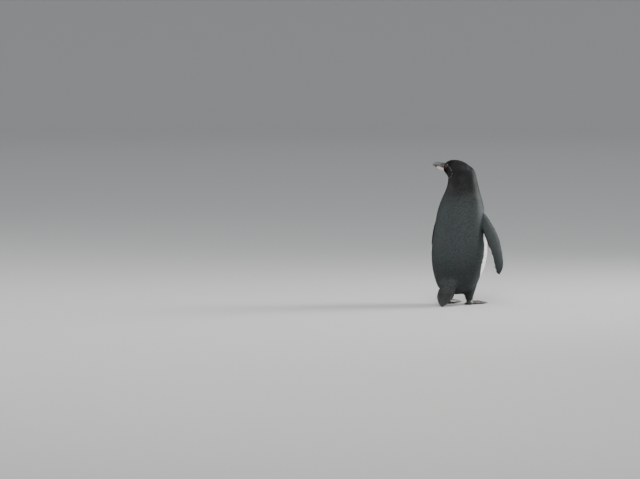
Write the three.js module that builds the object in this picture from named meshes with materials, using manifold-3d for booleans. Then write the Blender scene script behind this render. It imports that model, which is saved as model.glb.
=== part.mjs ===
// A life-size Galapagos penguin that stands and looks over its left shoulder, in millimetres.
// +Z is up, the breast faces -Y and the bird's left side is towards +X. It stands on its two soles
// and the tip of its tail, all at z = 0, and the origin is the middle of the whole model's box there.
import * as THREE from 'three';
import { LoftGeometry } from 'three/addons/geometries/LoftGeometry.js';
import { mergeVertices } from 'three/addons/utils/BufferGeometryUtils.js';
import Module from 'manifold-3d';

const wasm = await Module();
wasm.setup();

// ---- driving dimensions, in millimetres and degrees ----
const GAP = 0.3; // clear space between neighbouring pieces
const FLOOR_GAP = 0.1; // a claw stops this far above the floor

const BODY_RINGS = 25;
const BODY_SEGMENTS = 30;
const NECK_BASE_Z = 318; // where the trunk ends and the neck begins

const HEAD_TURN = 76; // the head's turn to the left of the breast
const HEAD_LIFT = 9; // how far the bill points above the level
const HEAD_CENTRE = new THREE.Vector3(16, -12, 376);
const HEAD_RINGS = 15;
const HEAD_SEGMENTS = 24;
const NAPE_CUT_TILT = 12; // how far the cut under the head rises towards the nape
const NAPE_CUT_DROP = 20; // how far that cut passes below the middle of the head

const GAPE_DROP = 2.2; // how far the line between the mandibles drops towards the corner of the mouth
const HOOK_START = 70; // where that line starts to bend down to the hooked tip, and how far it bends
const HOOK_DROP = 5.6;
const BILL_TIP = 91;
const BILL_SEGMENTS = 16;
const BILL_RINGS = 11;

const EYE_RADIUS = 6.2;
const EYE_FORWARD = 24;
const EYE_ASIDE = 13.8;
const EYE_UP = 8.6;

const WING_RINGS = 15;
const WING_SEGMENTS = 16;
const WING_LEAD_BULGE = 0.35; // how much thicker the leading half of a flipper is
const WING_TIP_CROWDING = 1.4; // how much closer together the rings are towards the tip

const LEG_ASIDE = 33;
const LEG_RINGS = 6;
const LEG_SEGMENTS = 14;
const TOE_RINGS = 6;
const TOE_SEGMENTS = 8;
const FOOT_SPLAY = 9; // how far each foot turns outwards
const WEB_THICK = 3.2;
const CLAW_RINGS = 5;
const CLAW_SEGMENTS = 6;

const TAIL_RINGS = 9;
const TAIL_SEGMENTS = 16;

// ---- materials ----
const finish = (color, roughness) => new THREE.MeshStandardMaterial({ color, roughness, metalness: 0 });
const DARK_PLUMAGE = finish(0x3c4344, 0.85);
const HEAD_PLUMAGE = finish(0x2b2c2c, 0.8);
const BILL_HORN = finish(0x1d1b1a, 0.35);
const BILL_PALE = finish(0xc9a58c, 0.4);
const EYE_BROWN = finish(0x2a1710, 0.08);
const FOOT_SKIN = finish(0x26211f, 0.6);
const CLAW_HORN = finish(0x131212, 0.35);

// ---- shapes ----

// The value of every field of a list of stations at u, from 0 at the first to 1 at the last, along a
// smooth Catmull-Rom spline.
function station(list, u) {
  const at = u * (list.length - 1);
  const i = Math.min(Math.floor(at), list.length - 2);
  const f = at - i;
  const [a, b, c, d] = [-1, 0, 1, 2].map((k) => list[THREE.MathUtils.clamp(i + k, 0, list.length - 1)]);
  const blend = (p, q, r, s) =>
    q + 0.5 * f * (r - p + f * (2 * p - 5 * q + 4 * r - s + f * (3 * (q - r) + s - p)));
  return Object.fromEntries(Object.keys(b).map((key) => [key, blend(a[key], b[key], c[key], d[key])]));
}

// A factor that rounds off an end: 0 at u = 0 and 1 from u = reach on, along a quarter circle.
const roundEnd = (u, reach) => Math.sqrt(1 - (1 - Math.min(u / reach, 1)) ** 2);

// Points round a section: point(cos, sin) gives each one from its angle.
function ring(segments, point) {
  return Array.from({ length: segments }, (_, j) => {
    const angle = (j / segments) * Math.PI * 2;
    return point(Math.cos(angle), Math.sin(angle));
  });
}

// A closed three.js geometry as a manifold-3d solid.
function solidOf(geometry) {
  const bare = new THREE.BufferGeometry();
  bare.setAttribute('position', geometry.attributes.position);
  bare.setIndex(geometry.index);
  const merged = mergeVertices(bare, 1e-3);
  return new wasm.Manifold(
    new wasm.Mesh({
      numProp: 3,
      vertProperties: new Float32Array(merged.attributes.position.array),
      triVerts: new Uint32Array(merged.index.array),
    }),
  );
}

const middleOf = (row) => row.reduce((sum, p) => sum.add(p), new THREE.Vector3()).divideScalar(row.length);

// The direction from which a ring of points is seen to run counter-clockwise.
const facingOf = (row) =>
  row.reduce(
    (sum, p, j) => sum.add(new THREE.Vector3().crossVectors(p, row[(j + 1) % row.length])),
    new THREE.Vector3(),
  );

// A solid skinned through rings of points, whichever way round the rings run.
function loft(sections) {
  const onward = middleOf(sections[1]).sub(middleOf(sections[0]));
  const outward = facingOf(sections[0]).dot(onward) > 0;
  const rows = outward ? sections : sections.map((row) => [...row].reverse());
  return solidOf(new LoftGeometry(rows, { capStart: true, capEnd: true }));
}

// The part of a solid on the side of a plane that its normal points to. offset is the plane's
// distance from the origin along the normal.
const keepAbove = (solid, normal, offset) => solid.trimByPlane(normal.toArray(), offset);

function mesh(name, solid, material) {
  const made = solid.getMesh();
  const geometry = new THREE.BufferGeometry();
  geometry.setAttribute('position', new THREE.BufferAttribute(new Float32Array(made.vertProperties), 3));
  geometry.setIndex(new THREE.BufferAttribute(new Uint32Array(made.triVerts), 1));
  geometry.computeVertexNormals();
  const node = new THREE.Mesh(geometry, material);
  node.name = name;
  return node;
}

// ---- trunk and neck ----

// Level sections from the vent to the inside of the head. x, y: middle; side: half width;
// front, back: reach towards the breast and the back.
const BODY = [
  { z: 29, x: 0, y: 20, side: 36, front: 34, back: 34 },
  { z: 40, x: 0, y: 19, side: 46, front: 45, back: 42 },
  { z: 52, x: 0, y: 19, side: 54, front: 55, back: 48 },
  { z: 66, x: 0, y: 18, side: 61, front: 63, back: 52 },
  { z: 84, x: 0, y: 15, side: 68, front: 70, back: 56 },
  { z: 104, x: 0, y: 11, side: 74.5, front: 75, back: 60 },
  { z: 127, x: 0, y: 6, side: 79, front: 77, back: 64 },
  { z: 152, x: 0, y: 2, side: 81, front: 77, back: 66 },
  { z: 180, x: 0, y: -1, side: 79, front: 75, back: 63 },
  { z: 210, x: 0, y: -4, side: 75.5, front: 71, back: 58 },
  { z: 240, x: 1, y: -6, side: 72.5, front: 67, back: 53 },
  { z: 268, x: 1, y: -9, side: 68, front: 60, back: 48 },
  { z: 294, x: 0, y: -12, side: 60.5, front: 51, back: 42 },
  { z: 316, x: -1, y: -14, side: 51.5, front: 43, back: 37 },
  { z: 334, x: -2, y: -14, side: 46.5, front: 37, back: 34 },
  { z: 350, x: -2, y: -13, side: 43.5, front: 33, back: 31.5 },
  { z: 363, x: -3, y: -12, side: 40.5, front: 29, back: 28.5 },
  { z: 374, x: -4, y: -12, side: 36, front: 25, back: 24.5 },
  { z: 384, x: -5, y: -12, side: 28, front: 19, back: 19 },
  { z: 391, x: -5, y: -12, side: 15, front: 11, back: 11 },
];

function bodySolid() {
  const sections = Array.from({ length: BODY_RINGS + 1 }, (_, i) => {
    const u = i / BODY_RINGS;
    const s = station(BODY, u);
    const size = Math.max(roundEnd(u, 0.07), 0.3);
    return ring(BODY_SEGMENTS, (c, d) =>
      new THREE.Vector3(s.x + size * s.side * c, s.y + size * (d > 0 ? s.back : s.front) * d, s.z));
  });
  return loft(sections);
}

// ---- head ----

const UP = new THREE.Vector3(0, 0, 1);
const bearing = THREE.MathUtils.degToRad(HEAD_TURN - 90);
const lift = THREE.MathUtils.degToRad(HEAD_LIFT);
const FORWARD = new THREE.Vector3(Math.cos(bearing), Math.sin(bearing), Math.tan(lift)).normalize();
const ASIDE = new THREE.Vector3().crossVectors(UP, FORWARD).normalize(); // towards the head's own left
const CROWNWARD = new THREE.Vector3().crossVectors(FORWARD, ASIDE);

// A point of the head, from its distances forward, to the left and up from the middle of the head.
const headPoint = (t, aside, up) =>
  HEAD_CENTRE.clone()
    .addScaledVector(FORWARD, t)
    .addScaledVector(ASIDE, aside)
    .addScaledVector(CROWNWARD, up);

// Upright sections from the nape to the base of the bill. t: distance forward of the middle.
const HEAD = [
  { t: -50, side: 17, up: 14, down: 19 },
  { t: -42, side: 20, up: 19, down: 25 },
  { t: -31, side: 22.5, up: 24.5, down: 28 },
  { t: -18, side: 24.3, up: 28, down: 29 },
  { t: -4, side: 24.8, up: 29, down: 29 },
  { t: 10, side: 24, up: 28, down: 28 },
  { t: 20, side: 21.5, up: 26.2, down: 24.8 },
  { t: 29, side: 17.6, up: 23, down: 20.4 },
  { t: 36, side: 13.4, up: 18.6, down: 16.2 },
  { t: 42, side: 9.2, up: 13.6, down: 12.8 },
];

function headSolid() {
  const sections = Array.from({ length: HEAD_RINGS + 1 }, (_, i) => {
    const u = i / HEAD_RINGS;
    const s = station(HEAD, u);
    const size = Math.max(roundEnd(u, 0.2), 0.15);
    return ring(HEAD_SEGMENTS, (c, d) =>
      headPoint(s.t, size * s.side * c, size * (d > 0 ? s.up : s.down) * d));
  });
  return loft(sections);
}

// ---- bill ----

// Height above the head's axis of the cutting edges, where the two mandibles meet.
function tomium(t) {
  const gape = GAPE_DROP * (THREE.MathUtils.smoothstep(t, 36, 68) - 1);
  const hook = Math.max((t - HOOK_START) / (BILL_TIP - HOOK_START), 0);
  return gape - HOOK_DROP * hook ** 3;
}

// Each mandible's upright sections from inside the head to its tip. ridge: the culmen of the upper
// one or the keel of the lower one.
const UPPER_BILL = [
  { t: 32, side: 7.5, ridge: 12.6 },
  { t: 41, side: 7.5, ridge: 12.6 },
  { t: 51, side: 6.8, ridge: 11.8 },
  { t: 62, side: 5.8, ridge: 10.9 },
  { t: 73, side: 4.8, ridge: 9.8 },
  { t: 82, side: 3.6, ridge: 7.2 },
  { t: 88, side: 2.3, ridge: 2.6 },
  { t: BILL_TIP, side: 1, ridge: -3.2 },
];
const LOWER_BILL = [
  { t: 32, side: 7.1, ridge: -11.6 },
  { t: 40, side: 7.1, ridge: -11.6 },
  { t: 50, side: 6.4, ridge: -11.2 },
  { t: 60, side: 5.5, ridge: -10.1 },
  { t: 70, side: 4.5, ridge: -8.5 },
  { t: 78, side: 3.2, ridge: -6.9 },
  { t: 84, side: 1.5, ridge: -5.3 },
];

// A mandible with a flat cutting side. grow thickens it; shift lowers or raises its cutting edge.
function mandible(stations, grow, shift) {
  const sections = Array.from({ length: BILL_RINGS + 1 }, (_, i) => {
    const s = station(stations, i / BILL_RINGS);
    const edge = tomium(s.t) + shift;
    const rise = s.ridge - edge + Math.sign(s.ridge - edge) * grow;
    return ring(BILL_SEGMENTS, (c, d) =>
      headPoint(s.t, (s.side + grow) * c, d > 0 ? edge + rise * d : edge - Math.sign(rise) * grow));
  });
  return loft(sections);
}

// ---- eyes ----

function eyeSolid(side, grow) {
  const centre = headPoint(EYE_FORWARD, side * EYE_ASIDE, EYE_UP);
  const sphere = new THREE.SphereGeometry(EYE_RADIUS + grow, 12, 8);
  return solidOf(sphere.translate(centre.x, centre.y, centre.z));
}

// ---- flippers ----

// Sections from the shoulder joint to the tip, at even steps. chord, thick: half the chord and half
// the thickness; shift: how far the section's middle lies ahead of the flipper's middle line.
const WING_SECTIONS = [
  { chord: 13, thick: 8, shift: -1 },
  { chord: 16, thick: 6.6, shift: 0 },
  { chord: 19, thick: 5, shift: 0.6 },
  { chord: 21, thick: 4.1, shift: 1.4 },
  { chord: 21.5, thick: 3.7, shift: 1.2 },
  { chord: 20, thick: 3.3, shift: 0.2 },
  { chord: 18, thick: 2.9, shift: -0.4 },
  { chord: 15.5, thick: 2.4, shift: -0.6 },
  { chord: 12, thick: 1.9, shift: -0.6 },
];
// Points that each flipper's middle line passes through, for the left side, and how far its leading
// edge turns outwards. The right one stands off the body and the left one hangs beside it.
const RIGHT_WING = {
  line: [[54, -6, 266], [79.5, -6, 226], [104, -6, 174], [119, -6, 124], [122, -4, 89]],
  leadOut: 28,
};
const LEFT_WING = {
  line: [[54, -6, 266], [71, -13, 226], [83, -20, 172], [88, -25, 124], [86, -25, 88]],
  leadOut: -16,
};

function wingSolid(side, pose, grow) {
  const curve = new THREE.CatmullRomCurve3(pose.line.map(([x, y, z]) => new THREE.Vector3(side * x, y, z)));
  const turn = THREE.MathUtils.degToRad(pose.leadOut);
  const lead = new THREE.Vector3(side * Math.sin(turn), -Math.cos(turn), 0);
  const sections = Array.from({ length: WING_RINGS + 1 }, (_, i) => {
    const u = 1 - (1 - i / WING_RINGS) ** WING_TIP_CROWDING;
    const s = station(WING_SECTIONS, u);
    const along = curve.getTangentAt(u);
    const thin = new THREE.Vector3().crossVectors(along, lead).normalize();
    const chord = new THREE.Vector3().crossVectors(thin, along);
    const size = Math.max(roundEnd(1 - u, 0.14), 0.16);
    return ring(WING_SEGMENTS, (c, d) =>
      curve.getPointAt(u)
        .addScaledVector(chord, (s.chord * size + grow) * c + s.shift)
        .addScaledVector(thin, (s.thick * size * (1 + WING_LEAD_BULGE * c) + grow) * d));
  });
  return loft(sections);
}

// ---- legs, feet and claws ----

// Level sections of a leg from inside the belly to the top of the foot, and its middle line.
// side, fore: half width and half depth.
const LEG = [
  { z: 84, y: 2, side: 22, fore: 27 },
  { z: 66, y: 2, side: 22, fore: 26 },
  { z: 50, y: 3, side: 20, fore: 23 },
  { z: 36, y: 4, side: 16, fore: 18.5 },
  { z: 24, y: 4, side: 12.5, fore: 14 },
  { z: 15, y: 3, side: 11, fore: 12.5 },
];

function legSolid(side, grow) {
  const sections = Array.from({ length: LEG_RINGS + 1 }, (_, i) => {
    const s = station(LEG, i / LEG_RINGS);
    return ring(LEG_SEGMENTS, (c, d) =>
      new THREE.Vector3(side * LEG_ASIDE + (s.side + grow) * c, s.y + (s.fore + grow) * d, s.z));
  });
  return loft(sections);
}

// The front toes of one foot and the short one at its inner side, each from the ankle to its last
// joint: length, angle away from the foot's own line, and radius. Inward angles are negative.
const FRONT_TOES = [
  { name: 'inner', length: 50, angle: -25, radius: 5.2 },
  { name: 'middle', length: 60, angle: -1, radius: 5.6 },
  { name: 'outer', length: 55, angle: 23, radius: 5.3 },
];
const HIND_TOE = { name: 'hind', length: 20, angle: -80, radius: 3.2 };
const TOES = [...FRONT_TOES, HIND_TOE];
const ANKLE_Y = 2;

const toeDirection = (side, toe) => {
  const turn = THREE.MathUtils.degToRad(toe.angle + FOOT_SPLAY);
  return new THREE.Vector3(side * Math.sin(turn), -Math.cos(turn), 0);
};
const ankle = (side) => new THREE.Vector3(side * LEG_ASIDE, ANKLE_Y, 0);

// A tapering toe that lies on the floor, with three swollen joints.
function toeSolid(side, toe) {
  const along = toeDirection(side, toe);
  const across = new THREE.Vector3().crossVectors(UP, along);
  const sections = Array.from({ length: TOE_RINGS + 1 }, (_, i) => {
    const u = i / TOE_RINGS;
    const joints = 1 + 0.08 * Math.cos(u * Math.PI * 6);
    const radius = toe.radius * joints * (1.15 - 0.4 * u) * Math.max(roundEnd(1 - u, 0.14), 0.4);
    const middle = toe.radius * (0.95 - 0.35 * u);
    return ring(TOE_SEGMENTS, (c, d) =>
      ankle(side)
        .addScaledVector(along, toe.length * u)
        .addScaledVector(across, radius * c)
        .addScaledVector(UP, middle + radius * d));
  });
  return loft(sections);
}

// Level sections of the short bare shank and the heel under it, from the leg to the floor.
const SHANK = [
  { z: 14.7, y: 3, side: 9, fore: 10.5 },
  { z: 10, y: 2, side: 9.4, fore: 11.5 },
  { z: 5, y: 0, side: 10.2, fore: 14 },
  { z: 0, y: 0, side: 9.6, fore: 13 },
];

function shankSolid(side) {
  const sections = SHANK.map((s) =>
    ring(LEG_SEGMENTS, (c, d) => new THREE.Vector3(side * LEG_ASIDE + s.side * c, s.y + s.fore * d, s.z)));
  return loft(sections);
}

// The web between the toes: straight along the outer toes and curved in between their tips.
function webSolid(side) {
  const reach = 0.93; // of each toe's length
  const sag = 0.84; // how far the free edge draws back between two toes
  const tip = (toe, share) => ankle(side).addScaledVector(toeDirection(side, toe), toe.length * share);
  const [inner, middle, outer] = FRONT_TOES.map((toe) => tip(toe, reach));
  const back = ankle(side);
  const between = (p, q) => p.clone().add(q).multiplyScalar(0.5).sub(back).multiplyScalar(sag).add(back);
  const first = between(inner, middle);
  const second = between(middle, outer);
  const outline = new THREE.Shape()
    .moveTo(back.x, back.y)
    .lineTo(inner.x, inner.y)
    .quadraticCurveTo(first.x, first.y, middle.x, middle.y)
    .quadraticCurveTo(second.x, second.y, outer.x, outer.y)
    .closePath();
  const settings = { depth: WEB_THICK, bevelEnabled: false, curveSegments: 6 };
  return solidOf(new THREE.ExtrudeGeometry(outline, settings));
}

function footSolid(side) {
  const toes = TOES.map((toe) => toeSolid(side, toe));
  const joined = toes.reduce((all, toe) => all.add(toe), webSolid(side).add(shankSolid(side)));
  return keepAbove(joined, UP, 0);
}

// A claw that curves down from the end of a toe nearly to the floor. Its size follows the toe's
// radius.
function clawSolid(side, toe, grow) {
  const along = toeDirection(side, toe);
  const across = new THREE.Vector3().crossVectors(UP, along);
  const size = toe.radius;
  const sections = Array.from({ length: CLAW_RINGS + 1 }, (_, i) => {
    const u = i / CLAW_RINGS;
    const radius = 0.44 * size * Math.max(Math.sqrt(1 - u), 0.16);
    const height = size * (0.67 + 0.26 * Math.sin(u * Math.PI * 0.8) - 0.63 * u * u);
    return ring(CLAW_SEGMENTS, (c, d) =>
      ankle(side)
        .addScaledVector(along, toe.length + size * (2.1 * u - 0.95))
        .addScaledVector(across, (0.8 * radius + grow) * c)
        .addScaledVector(UP, height + (radius + grow) * d));
  });
  const claw = loft(sections);
  return grow > 0 ? claw : keepAbove(claw, UP, FLOOR_GAP);
}

// ---- tail ----

// The stiff wedge of tail feathers, from inside the rump to its tip on the floor.
const TAIL_LINE = [[0, 52, 84], [0, 66, 62], [0, 82, 38], [0, 97, 14], [0, 106, -2]];
const TAIL_SECTIONS = [
  { side: 24, thick: 14 },
  { side: 28, thick: 12 },
  { side: 28.5, thick: 8 },
  { side: 25.5, thick: 5 },
  { side: 20, thick: 3 },
];

function tailSolid(grow) {
  const curve = new THREE.CatmullRomCurve3(TAIL_LINE.map(([x, y, z]) => new THREE.Vector3(x, y, z)));
  const across = new THREE.Vector3(1, 0, 0);
  const sections = Array.from({ length: TAIL_RINGS + 1 }, (_, i) => {
    const u = i / TAIL_RINGS;
    const s = station(TAIL_SECTIONS, u);
    const thin = new THREE.Vector3().crossVectors(curve.getTangentAt(u), across).normalize();
    return ring(TAIL_SEGMENTS, (c, d) =>
      curve.getPointAt(u)
        .addScaledVector(across, (s.side + grow) * c)
        .addScaledVector(thin, (s.thick + grow) * d));
  });
  const tail = loft(sections);
  return grow > 0 ? tail : keepAbove(tail, UP, 0);
}

// ---- assembly ----

// The plane between head and neck, as its upward normal and its distance from the origin.
function napePlane() {
  const tilt = THREE.MathUtils.degToRad(NAPE_CUT_TILT);
  const normal = UP.clone().multiplyScalar(Math.cos(tilt)).addScaledVector(FORWARD, Math.sin(tilt));
  const offset = headPoint(0, 0, -NAPE_CUT_DROP).dot(normal);
  return { normal, offset };
}

function penguin() {
  const group = new THREE.Group();
  const sides = { left: 1, right: -1 };
  const poses = { left: LEFT_WING, right: RIGHT_WING };
  const body = bodySolid().add(headSolid());
  const nape = napePlane();
  const down = UP.clone().negate();

  let trunk = keepAbove(body, down, -NECK_BASE_Z + GAP / 2).subtract(tailSolid(GAP));
  let head = keepAbove(body, nape.normal, nape.offset + GAP / 2);
  const neck = keepAbove(
    keepAbove(body, UP, NECK_BASE_Z + GAP / 2),
    nape.normal.clone().negate(),
    -nape.offset + GAP / 2,
  );

  for (const [word, side] of Object.entries(sides)) {
    trunk = trunk.subtract(legSolid(side, GAP)).subtract(wingSolid(side, poses[word], GAP));
    head = head.subtract(eyeSolid(side, GAP));
    const foot = TOES.reduce((rest, toe) => rest.subtract(clawSolid(side, toe, GAP)), footSolid(side));
    group.add(
      mesh(`eye_${word}`, eyeSolid(side, 0), EYE_BROWN),
      mesh(`wing_${word}`, wingSolid(side, poses[word], 0), DARK_PLUMAGE),
      mesh(`leg_${word}`, legSolid(side, 0), DARK_PLUMAGE),
      mesh(`foot_${word}`, foot, FOOT_SKIN),
      ...TOES.map((toe) => mesh(`claw_${toe.name}_${word}`, clawSolid(side, toe, 0), CLAW_HORN)),
    );
  }

  const upper = mandible(UPPER_BILL, 0, GAP / 2);
  const lower = mandible(LOWER_BILL, 0, -GAP / 2);
  head = head.subtract(mandible(UPPER_BILL, GAP, GAP / 2)).subtract(mandible(LOWER_BILL, GAP, -GAP / 2));
  group.add(
    mesh('trunk', trunk, DARK_PLUMAGE),
    mesh('neck', neck, DARK_PLUMAGE),
    mesh('head', head, HEAD_PLUMAGE),
    mesh('bill_upper', upper, BILL_HORN),
    mesh('bill_lower', lower, BILL_PALE),
    mesh('tail', tailSolid(0), DARK_PLUMAGE),
  );
  return group;
}

// The model, moved so that the middle of its box is over the origin.
function centred(group) {
  const middle = new THREE.Box3().setFromObject(group).getCenter(new THREE.Vector3());
  group.position.set(-middle.x, -middle.y, 0);
  return group;
}

export default centred(penguin());
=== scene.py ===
"""A Galapagos penguin in its coat: one skin, overlapping feathers, bill, eyes, feet and tail."""

import math

import bmesh
import bpy
import numpy as np
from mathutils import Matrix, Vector
from mathutils.bvhtree import BVHTree
from mathutils.kdtree import KDTree


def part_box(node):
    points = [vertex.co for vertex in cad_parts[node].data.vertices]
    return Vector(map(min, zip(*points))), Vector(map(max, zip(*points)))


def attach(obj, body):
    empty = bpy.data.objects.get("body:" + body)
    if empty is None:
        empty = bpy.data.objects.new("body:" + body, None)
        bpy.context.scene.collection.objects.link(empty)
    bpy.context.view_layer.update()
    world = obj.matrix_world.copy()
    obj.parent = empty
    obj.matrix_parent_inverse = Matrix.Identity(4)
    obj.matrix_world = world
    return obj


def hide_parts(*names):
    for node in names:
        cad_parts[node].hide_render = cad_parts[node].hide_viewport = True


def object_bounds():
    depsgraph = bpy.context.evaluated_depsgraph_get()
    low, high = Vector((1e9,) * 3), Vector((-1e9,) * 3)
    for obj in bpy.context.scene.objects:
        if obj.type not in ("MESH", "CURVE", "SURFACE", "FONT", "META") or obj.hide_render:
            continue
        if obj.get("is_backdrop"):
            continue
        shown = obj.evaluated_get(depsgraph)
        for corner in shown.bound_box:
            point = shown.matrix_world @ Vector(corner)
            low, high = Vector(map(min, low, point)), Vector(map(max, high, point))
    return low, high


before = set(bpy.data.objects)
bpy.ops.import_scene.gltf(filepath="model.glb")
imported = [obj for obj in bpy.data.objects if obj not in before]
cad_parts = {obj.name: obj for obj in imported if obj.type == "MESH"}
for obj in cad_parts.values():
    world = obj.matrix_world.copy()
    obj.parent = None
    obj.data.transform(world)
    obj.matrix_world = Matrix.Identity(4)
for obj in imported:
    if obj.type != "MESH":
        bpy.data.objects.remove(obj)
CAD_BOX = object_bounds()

MM = 0.001
rng = np.random.default_rng(7)


# ---- small helpers ----
def unit(vectors):
    vectors = np.asarray(vectors, float)
    return vectors / np.maximum(np.linalg.norm(vectors, axis=-1, keepdims=True), 1e-12)


def dot(a, b):
    return np.sum(np.asarray(a) * np.asarray(b), axis=-1)


def tangent(vectors, normals):
    return vectors - dot(vectors, normals)[:, None] * normals


def ease(low, high, x):
    """0 below low and 1 above high, or the other way round where low > high."""
    t = np.clip((np.asarray(x, float) - low) / (high - low), 0, 1)
    return t * t * (3 - 2 * t)


def hump(x, centre, spread):
    return np.exp(-(((x - centre) / spread) ** 2))


def middle(name):
    low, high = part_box(name)
    return np.array((low + high) / 2)


# ---- places taken from the frame, in metres ----
HEAD_TURN = math.radians(76)  # to the left of the breast
HEAD_LIFT = math.radians(9)
EYE_IN_HEAD = np.array((24, 0, 8.6)) * MM  # both eyes' mean place: forward, aside, up
LEG_ASIDE = 33 * MM
LEG_FORE = 2 * MM

EYES = {"left": middle("eye_left"), "right": middle("eye_right")}
EYE_RADIUS = 6.2 * MM
FORWARD = unit((math.sin(HEAD_TURN), -math.cos(HEAD_TURN), math.tan(HEAD_LIFT)))
ASIDE = unit(np.cross((0, 0, 1), FORWARD))
CROWNWARD = np.cross(FORWARD, ASIDE)
HEAD_AXES = np.stack((FORWARD, ASIDE, CROWNWARD))
HEAD_CENTRE = (EYES["left"] + EYES["right"]) / 2 - EYE_IN_HEAD @ HEAD_AXES
CROWN_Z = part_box("head")[1].z
STANCE = np.array((middle("tail")[0], middle("leg_left")[1] - LEG_FORE, 0))  # the body's own origin


# ---- meshes as arrays ----
def add_object(name, data, material=None):
    obj = bpy.data.objects.new(name, data)
    bpy.context.scene.collection.objects.link(obj)
    if material:
        data.materials.append(material)
    return obj


def add_piece(name, mesh, material, slot, *replaced):
    """A piece of the looks on the root body, in place of any nodes named."""
    piece = add_object(name, mesh, material)
    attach(piece, "root")
    if replaced:
        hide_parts(*replaced)


def read(collection, field, width, kind=np.float32):
    """One field of a mesh's vertices, edges, loops or triangles, in rows."""
    out = np.empty(len(collection) * width, kind)
    collection.foreach_get(field, out)
    return out.reshape(-1, width)


def coordinates(mesh):
    return read(mesh.vertices, "co", 3).astype(float)


def normals_of(mesh):
    return read(mesh.vertex_normals, "vector", 3).astype(float)


def triangles_of(mesh):
    mesh.calc_loop_triangles()
    return read(mesh.loop_triangles, "vertices", 3, np.int32)


def set_coordinates(mesh, points):
    mesh.vertices.foreach_set("co", points.astype(np.float32).ravel())
    mesh.update()


def put(mesh, **values):
    """Values for a mesh's vertices, by the names that its material reads."""
    for name, value in values.items():
        layer = mesh.attributes.new(name, "FLOAT", "POINT")
        layer.data.foreach_set("value", np.asarray(value, np.float32).ravel())


def bake_map(mesh, uv):
    """The OFBake map, from each vertex's place on it."""
    loops = read(mesh.loops, "vertex_index", 1, np.int32)[:, 0]
    layer = mesh.uv_layers.new(name="OFBake")
    layer.data.foreach_set("uv", uv.reshape(-1, 2)[loops].astype(np.float32).ravel())


def shade_smooth(mesh):
    mesh.polygons.foreach_set("use_smooth", [True] * len(mesh.polygons))


def edit(mesh, change, *how):
    bm = bmesh.new()
    bm.from_mesh(mesh)
    change(bm, *how)
    bm.to_mesh(mesh)
    bm.free()


def closed_mesh(name, verts, faces):
    """A smooth closed mesh, with its faces turned outwards."""
    mesh = bpy.data.meshes.new(name)
    mesh.from_pydata(np.asarray(verts).tolist(), [], faces)
    edit(mesh, lambda bm: bmesh.ops.recalc_face_normals(bm, faces=bm.faces))
    shade_smooth(mesh)
    return mesh


def tube_faces(count, size, start=0):
    """The sides between count rings of size vertices each, and then the two ends."""
    index = start + np.arange(count * size).reshape(count, size)
    a, b = index[:-1], index[1:]
    sides = np.stack((a, np.roll(a, -1, 1), np.roll(b, -1, 1), b), axis=-1).reshape(-1, 4)
    return sides.tolist() + [index[0][::-1].tolist(), index[-1].tolist()]


def point_tree(points):
    tree = KDTree(len(points))
    for k, p in enumerate(points):
        tree.insert(p, k)
    tree.balance()
    return tree


def thinned(points, rooms, order):
    """The points that stay when each in its turn clears its room of the others."""
    tree = point_tree(points)
    alive = np.ones(len(points), bool)
    kept = []
    for k in order:
        if alive[k]:
            kept.append(k)
            for _, j, _ in tree.find_range(points[k], rooms[k]):
                alive[j] = False
    return kept


def stations(table, share):
    """The rows of a table at shares 0 to 1 of its length, along a Catmull-Rom spline."""
    table = np.asarray(table, float)
    at = np.clip(np.asarray(share, float), 0, 1) * (len(table) - 1)
    i = np.minimum(at.astype(int), len(table) - 2)
    f = (at - i)[..., None]
    p, q, r, s = (table[np.clip(i + k, 0, len(table) - 1)] for k in (-1, 0, 1, 2))
    return q + 0.5 * f * (r - p + f * (2 * p - 5 * q + 4 * r - s + f * (3 * (q - r) + s - p)))


# ---- materials ----
class Nodes:
    """Short ways to add shader nodes to a material."""

    def __init__(self, name):
        self.material = bpy.data.materials.new(name)
        self.material.use_nodes = True
        self.tree = self.material.node_tree
        self.bsdf = self.tree.nodes["Principled BSDF"]

    def node(self, kind, inputs, **settings):
        node = self.tree.nodes.new("ShaderNode" + kind)
        for key, value in settings.items():
            setattr(node, key, value)
        for key, value in inputs.items():
            self.plug(node.inputs[key], value)
        return node

    def plug(self, socket, value):
        if isinstance(value, bpy.types.NodeSocket):
            self.tree.links.new(value, socket)
        else:
            socket.default_value = value

    def attribute(self, name):
        return self.node("Attribute", {}, attribute_name=name).outputs["Fac"]

    def maths(self, operation, *values):
        return self.node("Math", dict(enumerate(values)), operation=operation).outputs[0]

    def times(self, a, b):
        return self.maths("MULTIPLY", a, b)

    def scaled(self, a, scale, start):
        return self.maths("MULTIPLY_ADD", a, scale, start)

    def mix(self, share, a, b, most=None):
        """Colour a passing into b by the share, which most scales down."""
        a, b = (v if isinstance(v, bpy.types.NodeSocket) else (*v, 1) for v in (a, b))
        share = self.times(share, most) if most else share
        return self.node("Mix", {"Factor": share, 6: a, 7: b}, data_type="RGBA").outputs[2]

    def ramp(self, share, low, high):
        node = self.node("MapRange", {"Value": share, "From Min": low, "From Max": high})
        node.interpolation_type = "SMOOTHSTEP"
        return node.outputs[0]

    def noise(self, scale, detail=2.0, stretch=None):
        vector = self.node("TexCoord", {}).outputs["Object"]
        if stretch:
            vector = self.node("Mapping", {"Vector": vector, "Scale": stretch}).outputs[0]
        inputs = {"Vector": vector, "Scale": scale, "Detail": detail}
        return self.node("TexNoise", inputs).outputs["Fac"]

    def bump(self, height, strength, distance):
        inputs = {"Height": height, "Strength": strength, "Distance": distance}
        return self.node("Bump", inputs).outputs["Normal"]

    def finish(self, **inputs):
        for key, value in inputs.items():
            self.plug(self.bsdf.inputs[key.replace("_", " ")], value)
        return self.material


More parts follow.
